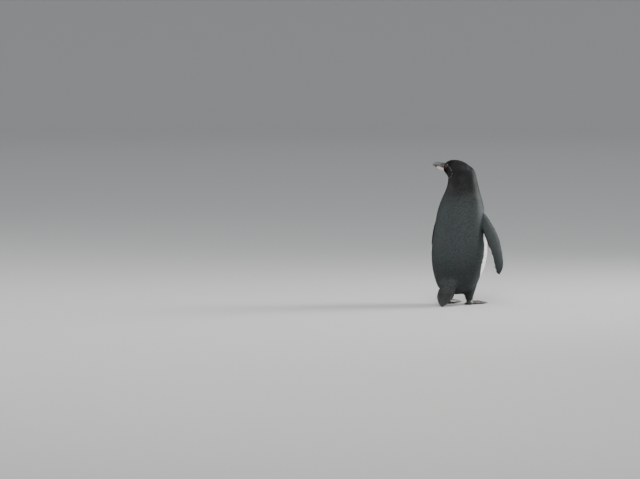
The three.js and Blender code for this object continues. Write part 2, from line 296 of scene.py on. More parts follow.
WHITE = (0.83, 0.82, 0.79)
PINK = (0.40, 0.22, 0.19)
DUSKY = (0.085, 0.058, 0.054)  # naked skin over the lores and round the eye
HOOD = ((0.0055, 0.006, 0.0065), (0.012, 0.0125, 0.0125))
MANTLE = ((0.016, 0.019, 0.020), (0.044, 0.055, 0.056), (0.037, 0.038, 0.035))
FLIPPER = ((0.008, 0.011, 0.0115), (0.018, 0.026, 0.0265), (0.020, 0.022, 0.021))
TAIL_DARK = ((0.012, 0.013, 0.0135), (0.030, 0.031, 0.030), (0.040, 0.036, 0.031))


def plumage(name, base, tip, warm, hood=None):
    """Feather vanes: dark or white by the markings, each paler at its tip, with fine barbs."""
    n = Nodes(name)
    along = n.attribute("along")
    if hood:  # the colours pass into the head's, and part way into them as painted shade low on the back
        base, tip = (n.mix(n.attribute("hood"), *pair) for pair in zip((base, tip), hood))
    dark = n.mix(n.ramp(along, 0.62, 0.97), base, tip)
    dark = n.mix(n.ramp(n.noise(38, 3), 0.45, 0.75), dark, warm, 0.55)
    pale = n.mix(n.ramp(along, 0.2, 0.9), tuple(0.72 * v for v in WHITE), WHITE)
    colour = n.mix(n.attribute("white"), dark, pale)
    side = n.maths("ABSOLUTE", n.attribute("across"))
    quill = n.times(n.ramp(side, 0.09, 0.02), 0.18)
    shade = n.maths("SUBTRACT", n.scaled(n.attribute("tone"), 0.09, 1.0), quill)
    colour = n.node("HueSaturation", {"Color": colour, "Value": shade}).outputs[0]
    barbs = n.maths("SINE", n.times(n.scaled(side, 5.0, n.times(along, 16.0)), 6.2832))
    normal = n.bump(barbs, 0.25, 0.0001)
    gloss = n.scaled(n.noise(90), 0.14, 0.55)
    return n.finish(Base_Color=colour, Roughness=gloss, Normal=normal, Specular_IOR_Level=0.22)


def skin_material():
    """Under the coat: the same markings, darker between the feathers, and naked skin on the face."""
    n = Nodes("skin")
    dark = n.mix(n.noise(60, 3), (0.022, 0.024, 0.024), (0.034, 0.036, 0.036))
    pale = n.mix(n.noise(60, 3), (0.42, 0.41, 0.38), (0.52, 0.51, 0.48))
    colour = n.mix(n.attribute("white"), dark, pale)
    naked = n.mix(n.attribute("rosy"), DUSKY, PINK)
    naked = n.mix(n.ramp(n.noise(700, 3), 0.52, 0.66), naked, (0.030, 0.026, 0.026), 0.75)
    colour = n.mix(n.ramp(n.attribute("bare"), 0.35, 0.6), colour, naked)
    colour = n.mix(n.ramp(n.attribute("lid"), 0.4, 0.7), colour, (0.030, 0.024, 0.022))
    place = n.node("TexCoord", {}).outputs["Object"]
    grain = n.node("TexVoronoi", {"Vector": place, "Scale": 1500.0}).outputs["Distance"]
    normal = n.bump(grain, 0.35, 0.00015)
    return n.finish(Base_Color=colour, Roughness=0.5, Normal=normal, Specular_IOR_Level=0.4)


def horn_material(name, lower):
    """Bill horn: slate above, nearly black at its base; cream below, dark at the tip; fine growth lines;
    painted shade where the horn sinks, in the nostril and grooves.
    """
    n = Nodes(name)
    t, up, sunk = n.attribute("t"), n.attribute("up"), n.attribute("sunk")
    patch, fine = n.noise(190, 4), n.noise(1500, 3)
    run = n.node("CombineXYZ", {"X": n.times(t, 0.05), "Y": n.times(up, 3.2)}).outputs[0]
    grain = n.node("TexNoise", {"Vector": run, "Scale": 9.0, "Detail": 5.0}).outputs["Fac"]
    if lower:
        base = n.mix(n.ramp(up, 0.25, 0.9), (0.60, 0.45, 0.35), (0.70, 0.58, 0.42))
        base = n.mix(n.ramp(grain, 0.5, 0.68), base, (0.38, 0.26, 0.20), 0.35)
        base = n.mix(n.ramp(fine, 0.55, 0.75), base, (0.34, 0.22, 0.17), 0.3)
        base = n.mix(n.ramp(n.scaled(patch, 10.0, t), 53, 46), base, (0.40, 0.23, 0.19))
        reach = n.scaled(up, -9.0, n.scaled(patch, 14.0, n.scaled(grain, 14.0, t)))
        base = n.mix(n.ramp(reach, 75, 86), base, (0.040, 0.036, 0.036))
    else:
        base = n.mix(n.ramp(grain, 0.36, 0.64), (0.026, 0.027, 0.030), (0.070, 0.073, 0.080))
        base = n.mix(n.ramp(fine, 0.55, 0.75), base, (0.10, 0.10, 0.105), 0.35)
        reach = n.scaled(patch, 9.0, t)
        base = n.mix(n.ramp(reach, 64, 55), base, (0.009, 0.009, 0.010))
        base = n.mix(n.ramp(n.scaled(up, 60.0, reach), 56, 50), base, (0.30, 0.17, 0.145), 0.8)
        base = n.mix(n.ramp(t, 78, 90), base, (0.12, 0.11, 0.10), 0.5)
    # painted shade: nearly black where the horn sinks, in the nostril and the grooves
    base = n.mix(n.ramp(sunk, 0.12, 0.9), base, (0.010, 0.009, 0.009))
    normal = n.bump(n.maths("ADD", fine, grain), 0.22, 0.00025)
    gloss = n.scaled(grain, 0.30, 0.2)
    return n.finish(Base_Color=base, Roughness=gloss, Normal=normal, Coat_Weight=0.12, Coat_Roughness=0.25)


def eye_material():
    """A dark brown iris round a round pupil, under a wet surface."""
    n = Nodes("eye")
    rho = n.attribute("rho")  # millimetres from the eye's axis
    iris = n.mix(n.ramp(n.noise(2400, 4), 0.35, 0.7), (0.018, 0.008, 0.005), (0.055, 0.023, 0.011))
    iris = n.mix(n.ramp(rho, 2.7, 2.2), iris, (0.070, 0.032, 0.016))
    colour = n.mix(n.ramp(rho, 3.7, 4.4), iris, (0.012, 0.008, 0.006))
    colour = n.mix(n.ramp(rho, 2.25, 2.05), colour, (0.001, 0.001, 0.001))
    wet = {"Coat_Weight": 1.0, "Coat_Roughness": 0.02}
    return n.finish(Base_Color=colour, Roughness=0.3, Specular_IOR_Level=0.0, **wet)


def foot_material():
    """Black webbed feet, mottled with flesh colour on the webs and between the scales."""
    n = Nodes("foot_skin")
    scales = n.ramp(n.attribute("pebble"), 0.1, 0.8)
    dark = n.mix(scales, (0.016, 0.014, 0.014), (0.045, 0.040, 0.038))
    pink = n.mix(scales, (0.20, 0.12, 0.10), (0.33, 0.21, 0.175))
    share = n.times(n.ramp(n.noise(70, 3), 0.50, 0.62), n.attribute("web"))
    colour = n.mix(share, dark, pink, 0.8)
    colour = n.mix(n.ramp(n.attribute("top"), 0.1, -0.6), colour, (0.045, 0.036, 0.033))
    normal = n.bump(n.noise(1300, 3), 0.3, 0.0002)
    return n.finish(Base_Color=colour, Roughness=0.52, Normal=normal, Specular_IOR_Level=0.4)


def claw_material():
    n = Nodes("claw_horn")
    grain = n.noise(500, 3, (1, 1, 0.3))
    colour = n.mix(grain, (0.010, 0.009, 0.009), (0.050, 0.042, 0.038))
    normal = n.bump(grain, 0.2, 0.0001)
    return n.finish(Base_Color=colour, Roughness=0.34, Normal=normal, Coat_Weight=0.1, Coat_Roughness=0.3)


# ---- camera ----
PIXELS = (640, 479)
PIXEL_AT_BIRD = 2.81 * MM
CAMERA_AWAY = 8.0
CAMERA_AZIMUTH = math.radians(207)  # from -Y towards +X, seen from the bird
CAMERA_ABOVE = math.radians(3)
CROWN_PIXEL = (460, 160)  # where the photograph has the crown
SENSOR = 36.0


def place_camera():
    """Puts the crown's place at its pixel, with the lens that gives the bird its size."""
    level = np.array((math.sin(CAMERA_AZIMUTH), -math.cos(CAMERA_AZIMUTH), 0))
    crown = STANCE + (0, 0, CROWN_Z)
    away = level * math.cos(CAMERA_ABOVE) + np.array((0, 0, math.sin(CAMERA_ABOVE)))
    eye = crown + CAMERA_AWAY * away
    data = bpy.data.cameras.new("camera")
    data.sensor_width = SENSOR
    data.lens = SENSOR * CAMERA_AWAY / (PIXELS[0] * PIXEL_AT_BIRD)
    data.clip_end = 100
    focal = data.lens / SENSOR * PIXELS[0]
    aim = crown - eye
    yaw = math.atan2(aim[1], aim[0]) + math.atan((CROWN_PIXEL[0] - PIXELS[0] / 2) / focal)
    pitch = math.atan2(aim[2], math.hypot(aim[0], aim[1]))
    pitch -= math.atan((PIXELS[1] / 2 - CROWN_PIXEL[1]) / focal)
    look = (math.cos(yaw) * math.cos(pitch), math.sin(yaw) * math.cos(pitch), math.sin(pitch))
    camera = add_object("camera", data)
    camera.location = eye
    camera.rotation_euler = Vector(look).to_track_quat("-Z", "Y").to_euler()
    bpy.context.scene.camera = camera


place_camera()

# ---- light and floor ----
LIGHTS = (  # name, place, size, power, colour, spread in degrees
    ("key", (-0.9, 2.2, 3.2), 2.2, 138, (1, 0.985, 0.96), 180),
    ("fill", (3.0, 1.0, 1.6), 2.0, 34, (1, 1, 1), 180),
    ("front", (-2.3, -2.3, 1.4), 1.8, 24, (1, 1, 1), 46),
)
SKY = (0.9, 0.95, 1.0, 1)
FLOOR_RADIUS = 11.0
COVE_RADIUS = 4.0
COVE_TOP = 8.0


def light(name, place, size, power, colour, spread):
    data = bpy.data.lights.new(name, "AREA")
    data.shape = "DISK"
    data.size = size
    data.energy = power
    data.color = colour
    data.spread = math.radians(spread)
    lamp = add_object(name, data)
    lamp.location = place
    lamp.rotation_euler = (-Vector(place)).to_track_quat("-Z", "Y").to_euler()


def studio():
    """A pale floor that curves up into a pale wall all round, open to a soft sky."""
    world = bpy.data.worlds.new("studio")
    bpy.context.scene.world = world
    world.use_nodes = True
    world.node_tree.nodes["Background"].inputs["Color"].default_value = SKY
    world.node_tree.nodes["Background"].inputs["Strength"].default_value = 1.0
    for row in LIGHTS:
        light(*row)
    bends = np.linspace(0, math.pi / 2, 13)
    cove = [(FLOOR_RADIUS + COVE_RADIUS * math.sin(a), COVE_RADIUS * (1 - math.cos(a))) for a in bends]
    profile = [(1e-6, 0), (3, 0), *cove, (FLOOR_RADIUS + COVE_RADIUS, COVE_TOP)]
    turns = np.linspace(0, 2 * math.pi, 97)[:-1]
    verts = [(r * math.cos(t), r * math.sin(t), z) for r, z in profile for t in turns]
    sides = tube_faces(len(profile), len(turns))[:-2]
    mesh = bpy.data.meshes.new("floor")
    mesh.from_pydata(verts, [], [face[::-1] for face in sides])  # facing up and inwards
    shade_smooth(mesh)
    pale = Nodes("floor").finish(Base_Color=(0.38, 0.375, 0.365, 1), Roughness=0.9)
    add_object("floor", mesh, pale)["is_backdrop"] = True


studio()

# ---- the skin's own shape, at the feathers' tips ----
FLESH = ("trunk", "neck", "head", "leg_left", "leg_right", "wing_left", "wing_right", "tail")
SKIN_VOXEL = 1.75 * MM
NODE_GAP = 0.3 * MM
NODE_MARGIN = 3 * MM  # round a node's box, where a point may still be nearest to it
BLEND_ROUNDS = 12  # how far one region passes into the next
FAIR_ROUNDS = 30
BULK_ROUNDS, FOLD_ROUNDS = 50, 160  # of filling out the body, and the throat's fold
LID_SPLITS = (12 * MM, 9 * MM)  # reach from each eye of the finer faces
TAIL_STUB = (76 * MM, 47 * MM)  # y and z, from the body's origin, where the tail's flesh ends
TAIL_DIRECTION = unit((0, 0.55, -0.84))
ANKLE = (LEG_ASIDE / MM, 2.0)


def in_body(points):
    """Millimetres from the body's own origin, x to the bird's left and y to its back."""
    return (points - STANCE) / MM


def in_head(points):
    """Millimetres from the head's centre: forward along the bill, aside to its left, and up."""
    return (points - HEAD_CENTRE) @ HEAD_AXES.T / MM


def ankles(places):
    """The ankle on each place's own side, aside and back from the body's origin."""
    return np.stack((np.sign(places[:, 0]) * ANKLE[0], np.full(len(places), ANKLE[1])), axis=1)


class Net:
    """A mesh's edges, to spread values over its surface."""

    def __init__(self, mesh):
        edges = read(mesh.edges, "vertices", 2, np.int32)
        self.a = np.concatenate((edges[:, 0], edges[:, 1]))
        self.b = np.concatenate((edges[:, 1], edges[:, 0]))
        self.n = len(mesh.vertices)
        self.count = np.maximum(np.bincount(self.a, minlength=self.n), 1)

    def mean(self, values):
        if values.ndim == 1:
            return np.bincount(self.a, values[self.b], self.n) / self.count
        return np.stack([self.mean(column) for column in values.T], axis=1)

    def spread(self, values, rounds):
        for _ in range(rounds):
            values = 0.5 * values + 0.5 * self.mean(values)
        return values

    def fair(self, points, rounds, share=1.0):
        """Smooths points without shrinking them. share limits it from point to point."""
        share = np.broadcast_to(share, (self.n,))[:, None]
        for _ in range(rounds):
            for step in (0.5, -0.52):
                points = points + step * share * (self.mean(points) - points)
        return points


def bmesh_of_node(name, swell=0.0):
    bm = bmesh.new()
    bm.from_mesh(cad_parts[name].data)
    bmesh.ops.remove_doubles(bm, verts=bm.verts, dist=2e-6)
    bm.normal_update()
    for vert in bm.verts:
        vert.co += vert.normal * swell
    return bm


def remeshed(bms, voxel, name):
    """One closed mesh round several bmeshes, by voxels."""
    mesh = bpy.data.meshes.new(name)
    joined = bmesh.new()
    for bm in bms:
        part = bpy.data.meshes.new("part")
        bm.to_mesh(part)
        joined.from_mesh(part)
        bpy.data.meshes.remove(part)
        bm.free()
    joined.to_mesh(mesh)
    joined.free()
    obj = add_object(name + "_source", mesh)
    modifier = obj.modifiers.new("voxels", "REMESH")
    modifier.mode = "VOXEL"
    modifier.voxel_size = voxel
    graph = bpy.context.evaluated_depsgraph_get()
    result = bpy.data.meshes.new_from_object(obj.evaluated_get(graph))
    result.name = name
    bpy.data.objects.remove(obj)
    bpy.data.meshes.remove(mesh)
    return result


def flesh_nodes():
    for name in FLESH:
        bm = bmesh_of_node(name, NODE_GAP)
        if name == "tail":
            everything = bm.verts[:] + bm.edges[:] + bm.faces[:]
            cut = {"plane_co": STANCE + (0, *TAIL_STUB), "plane_no": TAIL_DIRECTION}
            bmesh.ops.bisect_plane(bm, geom=everything, clear_outer=True, **cut)
            bmesh.ops.holes_fill(bm, edges=[e for e in bm.edges if e.is_boundary], sides=0)
        yield bm


def tree_of_nodes(*names):
    joined = bmesh.new()
    for name in names:
        joined.from_mesh(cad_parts[name].data)
    tree = BVHTree.FromBMesh(joined)
    joined.free()
    return tree


def gaps_to(tree, points):
    return np.array([tree.find_nearest(Vector(p))[3] for p in points])


def nearest_node(points):
    """The index in FLESH of the node that each point lies on."""
    best = np.full(len(points), np.inf)
    owner = np.zeros(len(points), int)
    for i, name in enumerate(FLESH):
        low, high = (np.array(v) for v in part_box(name))
        inside = (points > low - NODE_MARGIN) & (points < high + NODE_MARGIN)
        near = np.flatnonzero(np.all(inside, axis=1))
        gaps = gaps_to(tree_of_nodes(name), points[near])
        closer = gaps < best[near]
        best[near[closer]] = gaps[closer]
        owner[near[closer]] = i
    return owner


def is_on(region, *names):
    return np.isin(region, [FLESH.index(name) for name in names])


def region_weights(owner, net):
    """How far each vertex belongs to each node, spread a little over the joins."""
    on = {name: (owner == i).astype(float) for i, name in enumerate(FLESH)}
    on["wing"] = on["wing_left"] + on["wing_right"]
    on["leg"] = on["leg_left"] + on["leg_right"]
    return {name: net.spread(value, BLEND_ROUNDS) for name, value in on.items()}


def throat(points):
    """1 where the throat's fold is filled out, between the chin and the front of the neck."""
    forward, _, up = in_head(points).T
    return ease(34, 16, np.hypot(forward - 8, up + 34))


def split_near_eyes(bm, reach):
    """Splits the faces within reach of each eye, for the lids."""
    for eye in EYES.values():
        centre = Vector(eye)
        edges = [e for e in bm.edges if all((v.co - centre).length < reach for v in e.verts)]
        bmesh.ops.subdivide_edges(bm, edges=edges, cuts=1, use_grid_fill=True)
    bmesh.ops.triangulate(bm, faces=[f for f in bm.faces if len(f.verts) > 4])


def cuffed(points):
    """Draws the foot of each leg down, over the top of the bare shank."""
    places = in_body(points)
    pull = ease(25, 15, places[:, 2]) * (np.abs(places[:, 1]) < 30) * (places[:, 2] < 25)
    ankle = ankles(places)
    places[:, :2] = ankle + (places[:, :2] - ankle) * (1 - 0.03 * pull)[:, None]
    places[:, 2] -= 5.0 * pull
    return STANCE + places * MM


EYE_LEAN = (0.24, 0.1)  # how far each eye's axis leans forward and up, to 1 outward


def eye_axes(side):
    """An eye's outward axis, and the ways forward and up across it."""
    sign = 1 if side == "left" else -1
    axis = unit(sign * ASIDE + EYE_LEAN[0] * FORWARD + EYE_LEAN[1] * CROWNWARD)
    fore = unit(FORWARD - dot(FORWARD, axis) * axis)
    over = np.cross(axis, fore)
    return axis, fore, over if dot(over, CROWNWARD) > 0 else -over


def round_eyes(points, within, behind=-3):
    """For each eye: the points near it, their mm out, forward and up from its centre, and its axis."""
    for side, eye in EYES.items():
        axis, fore, over = eye_axes(side)
        local = (points - eye) / MM
        out, forward, up = local @ axis, local @ fore, local @ over
        near = np.flatnonzero((np.hypot(forward, up) < within) & (out > behind))
        yield near, out[near], forward[near], up[near], axis


def rounded_max(a, b, blend):
    """The larger of two heights, with the corner between them rounded."""
    near = np.clip(blend - np.abs(a - b), 0, None) / blend
    return np.maximum(a, b) + near**2 * blend / 4


LID_FOOT = 4.9  # millimetres from the eye's axis, where the lid leaves the ball for the cheek
LID_BALL = EYE_RADIUS / MM + 0.42
LID_FALL = LID_FOOT / math.sqrt(LID_BALL**2 - LID_FOOT**2) * 0.86


def raised_round_eyes(points):
    """Lifts the face to the rim of each eyelid, on a slope that runs out over the cheek and brow."""
    for near, out, forward, up, axis in round_eyes(points, 14, -7):
        reach = np.hypot(forward, up)
        past = np.maximum(reach - LID_FOOT, 0)
        rim = np.sqrt(np.maximum(LID_BALL**2 - np.minimum(reach, LID_FOOT) ** 2, 0))
        raised = rounded_max(out, rim - LID_FALL * past + 0.045 * past**2, 2.6)
        points[near] += ((raised - out) * ease(14, 10.5, reach) * MM)[:, None] * axis
    return points


skin_mesh = remeshed(flesh_nodes(), SKIN_VOXEL, "skin")
net = Net(skin_mesh)
outer = coordinates(skin_mesh)
wide = region_weights(nearest_node(outer), net)
outer = net.fair(outer, FAIR_ROUNDS)
bulk = (1 - ease(0.05, 0.6, wide["wing"])) * (1 - 0.6 * wide["head"])
fold = throat(outer)
for turn in range(FOLD_ROUNDS):
    share = np.maximum(bulk if turn < BULK_ROUNDS else 0, fold)
    outer = outer + 0.5 * share[:, None] * (net.mean(outer) - outer)
set_coordinates(skin_mesh, cuffed(outer))
for reach in LID_SPLITS:
    edit(skin_mesh, split_near_eyes, reach)

# ---- what each place of the skin carries ----
net = Net(skin_mesh)
outer = raised_round_eyes(coordinates(skin_mesh))
near_eye = np.min([np.linalg.norm(outer - eye, axis=1) for eye in EYES.values()], axis=0)
outer = net.fair(outer, 6, ease(15 * MM, 12 * MM, near_eye))
set_coordinates(skin_mesh, outer)
owner = nearest_node(outer)
wide = region_weights(owner, net)
total = sum(wide[name] for name in ("wing", "leg", "head", "neck", "trunk", "tail"))
outer_normals = unit(net.spread(normals_of(skin_mesh), 6))
body = in_body(outer)
head = in_head(outer)
FAR = 50.0  # millimetres: what counts as far from the bill or an eye
bill_gap = np.full(len(outer), FAR)
face = np.flatnonzero(head[:, 0] > 15)
bill_gap[face] = gaps_to(tree_of_nodes("bill_upper", "bill_lower"), outer[face]) / MM
bill_gap = np.minimum(bill_gap, FAR)

COAT = {  # for each region, in mm: depth over the skin, then spacing, length and width of a feather
    "trunk": (1.7, 1.74, 9.6, 3.5),
    "neck": (1.6, 1.5, 7.6, 2.9),
    "head": (0.95, 1.08, 4.9, 2.0),
    "leg": (1.5, 1.5, 6.6, 2.9),
    "wing": (0.42, 1.35, 5.0, 2.4),
    "tail": (2.2, 1.8, 10, 3.6),
}
TAIL_ROOT = (52, 84)  # y and z of the top of the tail's root, in body millimetres
LONGER_AT_ROOT = 11  # millimetres that the feathers gain round the tail's root


def eye_gap(points):
    """Millimetres from the nearer eye's centre, across its axis."""
    gap = np.full(len(points), FAR)
    for near, _, forward, up, _ in round_eyes(points, FAR):
        gap[near] = np.minimum(gap[near], np.hypot(forward, up))
    return gap


around_eye = eye_gap(outer)
bare_face = np.minimum(ease(0.6, 5, bill_gap), ease(5.0, 12, around_eye))
foot_near = ease(10, 22, body[:, 2])  # 0 at the coat's hem over the feet
rump = np.hypot((body[:, 1] - 64) / 26, (body[:, 2] - 62) / 38)
rump = ease(1.25, 0.35, np.hypot(rump, body[:, 0] / 42))  # nearness to the tail's root
tail_run = dot(body[:, 1:] - TAIL_ROOT, TAIL_DIRECTION[1:]) * ease(0.2, 0.7, wide["tail"])
tail_lift = dot(body[:, 1:] - TAIL_ROOT, (-TAIL_DIRECTION[2], TAIL_DIRECTION[1]))
tucked = ease(-5, -7, tail_lift) * ease(59, 63, body[:, 1]) * ease(61, 57, body[:, 2])
fine = 0.55 + 0.45 * ease(2, 26, np.minimum(bill_gap, around_eye - 5))
small = 1 - (1 - fine) * wide["head"]
depth, spacing, length, width = (  # each passes smoothly from one region to the next
    sum(wide[name] * row[k] for name, row in COAT.items()) / total for k in range(4)
)
depth = depth * (0.12 + 0.88 * bare_face) * (0.15 + 0.85 * foot_near) + 3.2 * ease(8, 40, tail_run)
spacing = spacing * small * (0.75 + 0.25 * foot_near) * (1 + 0.25 * rump)
length = length * small * (0.45 + 0.55 * foot_near) + LONGER_AT_ROOT * rump * (1 - tucked)
width = width * small * (0.7 + 0.3 * foot_near) * (1 + 0.3 * rump)
spacing = spacing * 1.0
width = width * 1.0


# ---- the lie of the coat ----
class Wing:
    """A flipper's own coordinates, from its node: along the span, across the chord, and outward."""

    def __init__(self, side):
        points = coordinates(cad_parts["wing_" + side].data)
        self.centre = points.mean(axis=0)
        points = points - self.centre
        span, chord, out = np.linalg.svd(points, full_matrices=False)[2]
        self.span = span * -np.sign(span[2])  # to the tip
        self.chord = chord * -np.sign(chord[1])  # to the leading edge
        self.out = out * np.sign(out[0]) * (1 if side == "left" else -1)
        along, across = points @ self.span, points @ self.chord
        self.low, self.high = along.min(), along.max()
        stops = np.linspace(self.low, self.high, 17)
        self.stops = (stops[:-1] + stops[1:]) / 2
        bins = [across[(along >= a) & (along <= b + 1e-6)] for a, b in zip(stops, stops[1:])]
        self.back, self.front = (self.edge(bins, pick) for pick in (np.min, np.max))
        far = self.stops > self.low + 0.42 * (self.high - self.low)
        middle, half = (self.front + self.back) / 2, (self.front - self.back) / 2
        slope, start = np.polyfit(self.stops[far][:5], middle[far][:5], 1)
        self.middle = np.where(far, middle, slope * self.stops + start)
        self.half = np.where(far, half, half[far][0])

    def edge(self, bins, pick):
        has = [k for k, values in enumerate(bins) if len(values)]
        return np.interp(self.stops, self.stops[has], [pick(bins[k]) for k in has])

    def local(self, points):
        """Along and across in metres, and a way to read a table of the stops there."""
        points = points - self.centre
        along = points @ self.span
        return along, points @ self.chord, lambda table: np.interp(along, self.stops, table)

    def aside(self, points):
        """-1 to 1 across the flipper, about a line that runs straight on towards the shoulder."""
        _, across, at = self.local(points)
        return (across - at(self.middle)) / at(self.half)

    def places(self, points, normals):
        """Shares of the span and chord, how far the normal faces out, and mm from the rear edge."""
        along, across, at = self.local(points)
        back = at(self.back)
        share = (across - back) / (at(self.front) - back)
        span = (along - self.low) / (self.high - self.low)
        return span, share, dot(normals, self.out), (across - back) / MM


WINGS = {side: Wing(side) for side in ("left", "right")}


def lie_of_coat():
    """The way that the feathers point, at each vertex of the skin."""
    low = ease(75, 25, body[:, 2])[:, None]
    to_tail = unit(np.array((0, 78, 30)) - body)
    trunk = unit(np.array((0, 0.06, -1.0)) * (1 - low) + to_tail * low * 1.4)
    turn = ease(14, -26, head[:, 0])[:, None]
    under = ease(-12, -26, head[:, 2])[:, None]
    on_head = -FORWARD * (1 - 0.8 * turn) + np.array((0, 0, -1.0)) * (0.15 + turn + 0.7 * under)
    on_head = on_head - 0.25 * FORWARD * ease(20, 40, head[:, 0])[:, None]
    neck = unit(np.array((0, 0.03, -1.0)) - 0.2 * FORWARD * ease(318, 365, body[:, 2])[:, None])
    ways = {"trunk": trunk, "neck": neck, "head": unit(on_head), "leg": unit((0, 0.1, -1))}
    ways["tail"] = TAIL_DIRECTION
    for side, wing in WINGS.items():
        ways["wing_" + side] = unit(wing.span - 0.22 * wing.chord)
    flow = sum(wide[name][:, None] * way for name, way in ways.items())
    for _ in range(6):
        flow = net.spread(unit(tangent(flow, outer_normals)), 2)
    return unit(tangent(flow, outer_normals))


flow = lie_of_coat()

# ---- markings, the same for the skin and the coat ----
GIRTH = 75.0  # millimetres of surface to a radian round the trunk
MANTLE_EDGE = np.array(  # degrees from the breast's middle line, height in mm: dark behind and above
    (
        (0, 288), (25, 286), (44, 280), (55, 270), (64, 250), (72, 228), (81, 212), (90, 199),
        (92, 186), (91, 170), (91, 155), (94, 130), (98, 112), (95, 90), (80, 72), (62, 56),
        (56, 40), (52, -10),
    ),
    float,
)
BREAST_BAND = np.array(
    (
        (0, 272), (20, 271), (35, 266), (48, 257), (56, 243), (61, 224), (64, 205), (66, 180),
        (66, 150), (65, 120), (63, 98), (57, 78), (50, 56),
    ),
    float,
)
BAND_HALF, BAND_GAIN = 5.2, 2.0  # half the breast band's width, and what it gains below
LINE_HALF, LINE_LOSS = 0.72, 0.14  # half the head's white line, and what it loses at the throat
EDGE_WHITE = 1.5  # width of the flipper's white trailing edge
CHEEK_LINE = ((15.5, 10.5), (4, 6), (-5, -3), (-7, -12), (-2, -19.5), (8, -25), (42, -28.5))
LORES = ((30, 5.5), (39, 1.0))  # this and the next: forward and up in the head's millimetres
CHIN = ((34, -12.0), (41, -11.0))


def line_distance(points, line):
    line = np.asarray(line, float)
    best = np.full(len(points), np.inf)
    for a, b in zip(line[:-1], line[1:]):
        along = np.clip((points - a) @ (b - a) / ((b - a) @ (b - a)), 0, 1)
        best = np.minimum(best, np.linalg.norm(points - a - along[:, None] * (b - a), axis=1))
    return best


def angle_round(places):
    """Degrees round the trunk from the breast's middle line."""
    return np.degrees(np.arctan2(np.abs(places[:, 0]), -(places[:, 1] - 2)))


def trunk_white(places):
    """Millimetres inside the white of the underparts, below 0 in the dark."""
    angle, up = angle_round(places), places[:, 2]
    flat = np.stack((np.radians(angle) * GIRTH, up), axis=1)
    scale = np.array((math.radians(1) * GIRTH, 1))
    edge = np.interp(-up, -MANTLE_EDGE[:, 1], MANTLE_EDGE[:, 0])
    inside = (angle < edge) & (up < MANTLE_EDGE[0, 1])
    to_edge = line_distance(flat, MANTLE_EDGE * scale) * np.where(inside, 1, -1)
    half = BAND_HALF + BAND_GAIN * ease(250, 200, up)
    return np.minimum(to_edge, line_distance(flat, BREAST_BAND * scale) - half)


def head_white(places):
    """Millimetres inside the thin white line round the cheek."""
    half = LINE_HALF - LINE_LOSS * ease(-14, -24, places[:, 2])
    return half - line_distance(places[:, [0, 2]], CHEEK_LINE)


def wing_white(points, normals, wing):
    """A thin white trailing edge on the outer face, and a white stripe along the inner one."""
    span, _, out, from_back = wing.places(points, normals)
    above = np.minimum(EDGE_WHITE - from_back, np.minimum((0.94 - span) * 60, (span - 0.6) * 30))
    aside = wing.aside(points)
    stripe = np.minimum(aside + 0.56, 0.48 - aside) * 20
    below = np.minimum(stripe, np.minimum(0.9 - span, span - 0.2) * 60)
    return np.where(out > -0.35, above, np.maximum(below, above))


def whiteness(points, normals, region):
    """Millimetres inside the white plumage, for places on the outer surface."""
    white = trunk_white(in_body(points))
    upper = is_on(region, "head", "neck")
    white[upper] = head_white(in_head(points[upper]))
    white[is_on(region, "tail")] = -3.0
    for side, wing in WINGS.items():
        mine = is_on(region, "wing_" + side)
        white[mine] = wing_white(points[mine], normals[mine], wing)
    return white


def line_strength(points, region):
    """How clear the head's line is: faint round the cheek, clearer across the throat, 1 elsewhere."""
    forward, _, up = in_head(points).T
    clear = ease(2, 22, forward) * ease(-12, -22, up)
    return np.where(is_on(region, "head", "neck"), 0.26 + 0.74 * clear, 1)


def bare(points, gap_to_bill):
    """1 on the naked skin round the bill's base, through the lores and round the eye."""
    places = in_head(points)
    side, forward = places[:, [0, 2]], places[:, 0] > 22
    ring = ease(6.5, 6.0, eye_gap(points))
    base = ease(1.5, 0.9, gap_to_bill)
    lores = ease(1.2, 0.7, line_distance(side, LORES)) * forward
    chin = ease(2.2, 1.4, line_distance(side, CHIN)) * forward
    return np.max((ring, base, lores, chin), axis=0)


def rosy(points, gap_to_bill):
    """1 where the naked skin is pink, under the bill's base, and 0 where it is nearly black."""
    return ease(6, 2, gap_to_bill) * ease(0.5, -3.5, in_head(points)[:, 2])


# ---- the skin: drawn in by the coat's depth, with lids round the eyes ----
LID_OVER_EYE = 0.28
APERTURE = (4.95, 4.25)  # half the eye's opening, forward and up


def from_opening(forward, up):
    """0 at the middle of the eye's opening and 1 on its edge."""
    return np.hypot(forward / APERTURE[0], up / APERTURE[1])


def lid_share(points):
    """1 on the dark rim of each lid."""
    share = np.zeros(len(points))
    for near, _, forward, up, _ in round_eyes(points, FAR):
        share[near] = np.maximum(share[near], ease(1.24, 1.16, from_opening(forward, up)))
    return share


def with_lids(points):
    """Brings the skin round each eye onto the ball, and tucks it under the ball inside the opening."""
    radius = EYE_RADIUS / MM
    for near, out, forward, up, axis in round_eyes(points, 11, -2.5):
        reach, opening = np.hypot(forward, up), from_opening(forward, up)
        lid = np.sqrt(np.maximum((radius + LID_OVER_EYE) ** 2 - reach**2, 0.01))
        lid = lid + 0.34 * hump(opening, 1.1, 0.09)
        fold = -0.22 * hump(opening, 1.36, 0.07)
        second = 0.16 * hump(opening, 1.5, 0.08) - 0.14 * hump(opening, 1.66, 0.06)
        under_ball = np.sqrt(np.maximum((radius - 1.1) ** 2 - reach**2, 0.01))
        blend = ease(7.6, 5.4, reach)
        made = lid * blend + out * (1 - blend) + fold + second
        made = np.where(opening < 1.0, under_ball, made)
        points[near] += ((made - out) * MM)[:, None] * axis
    return points


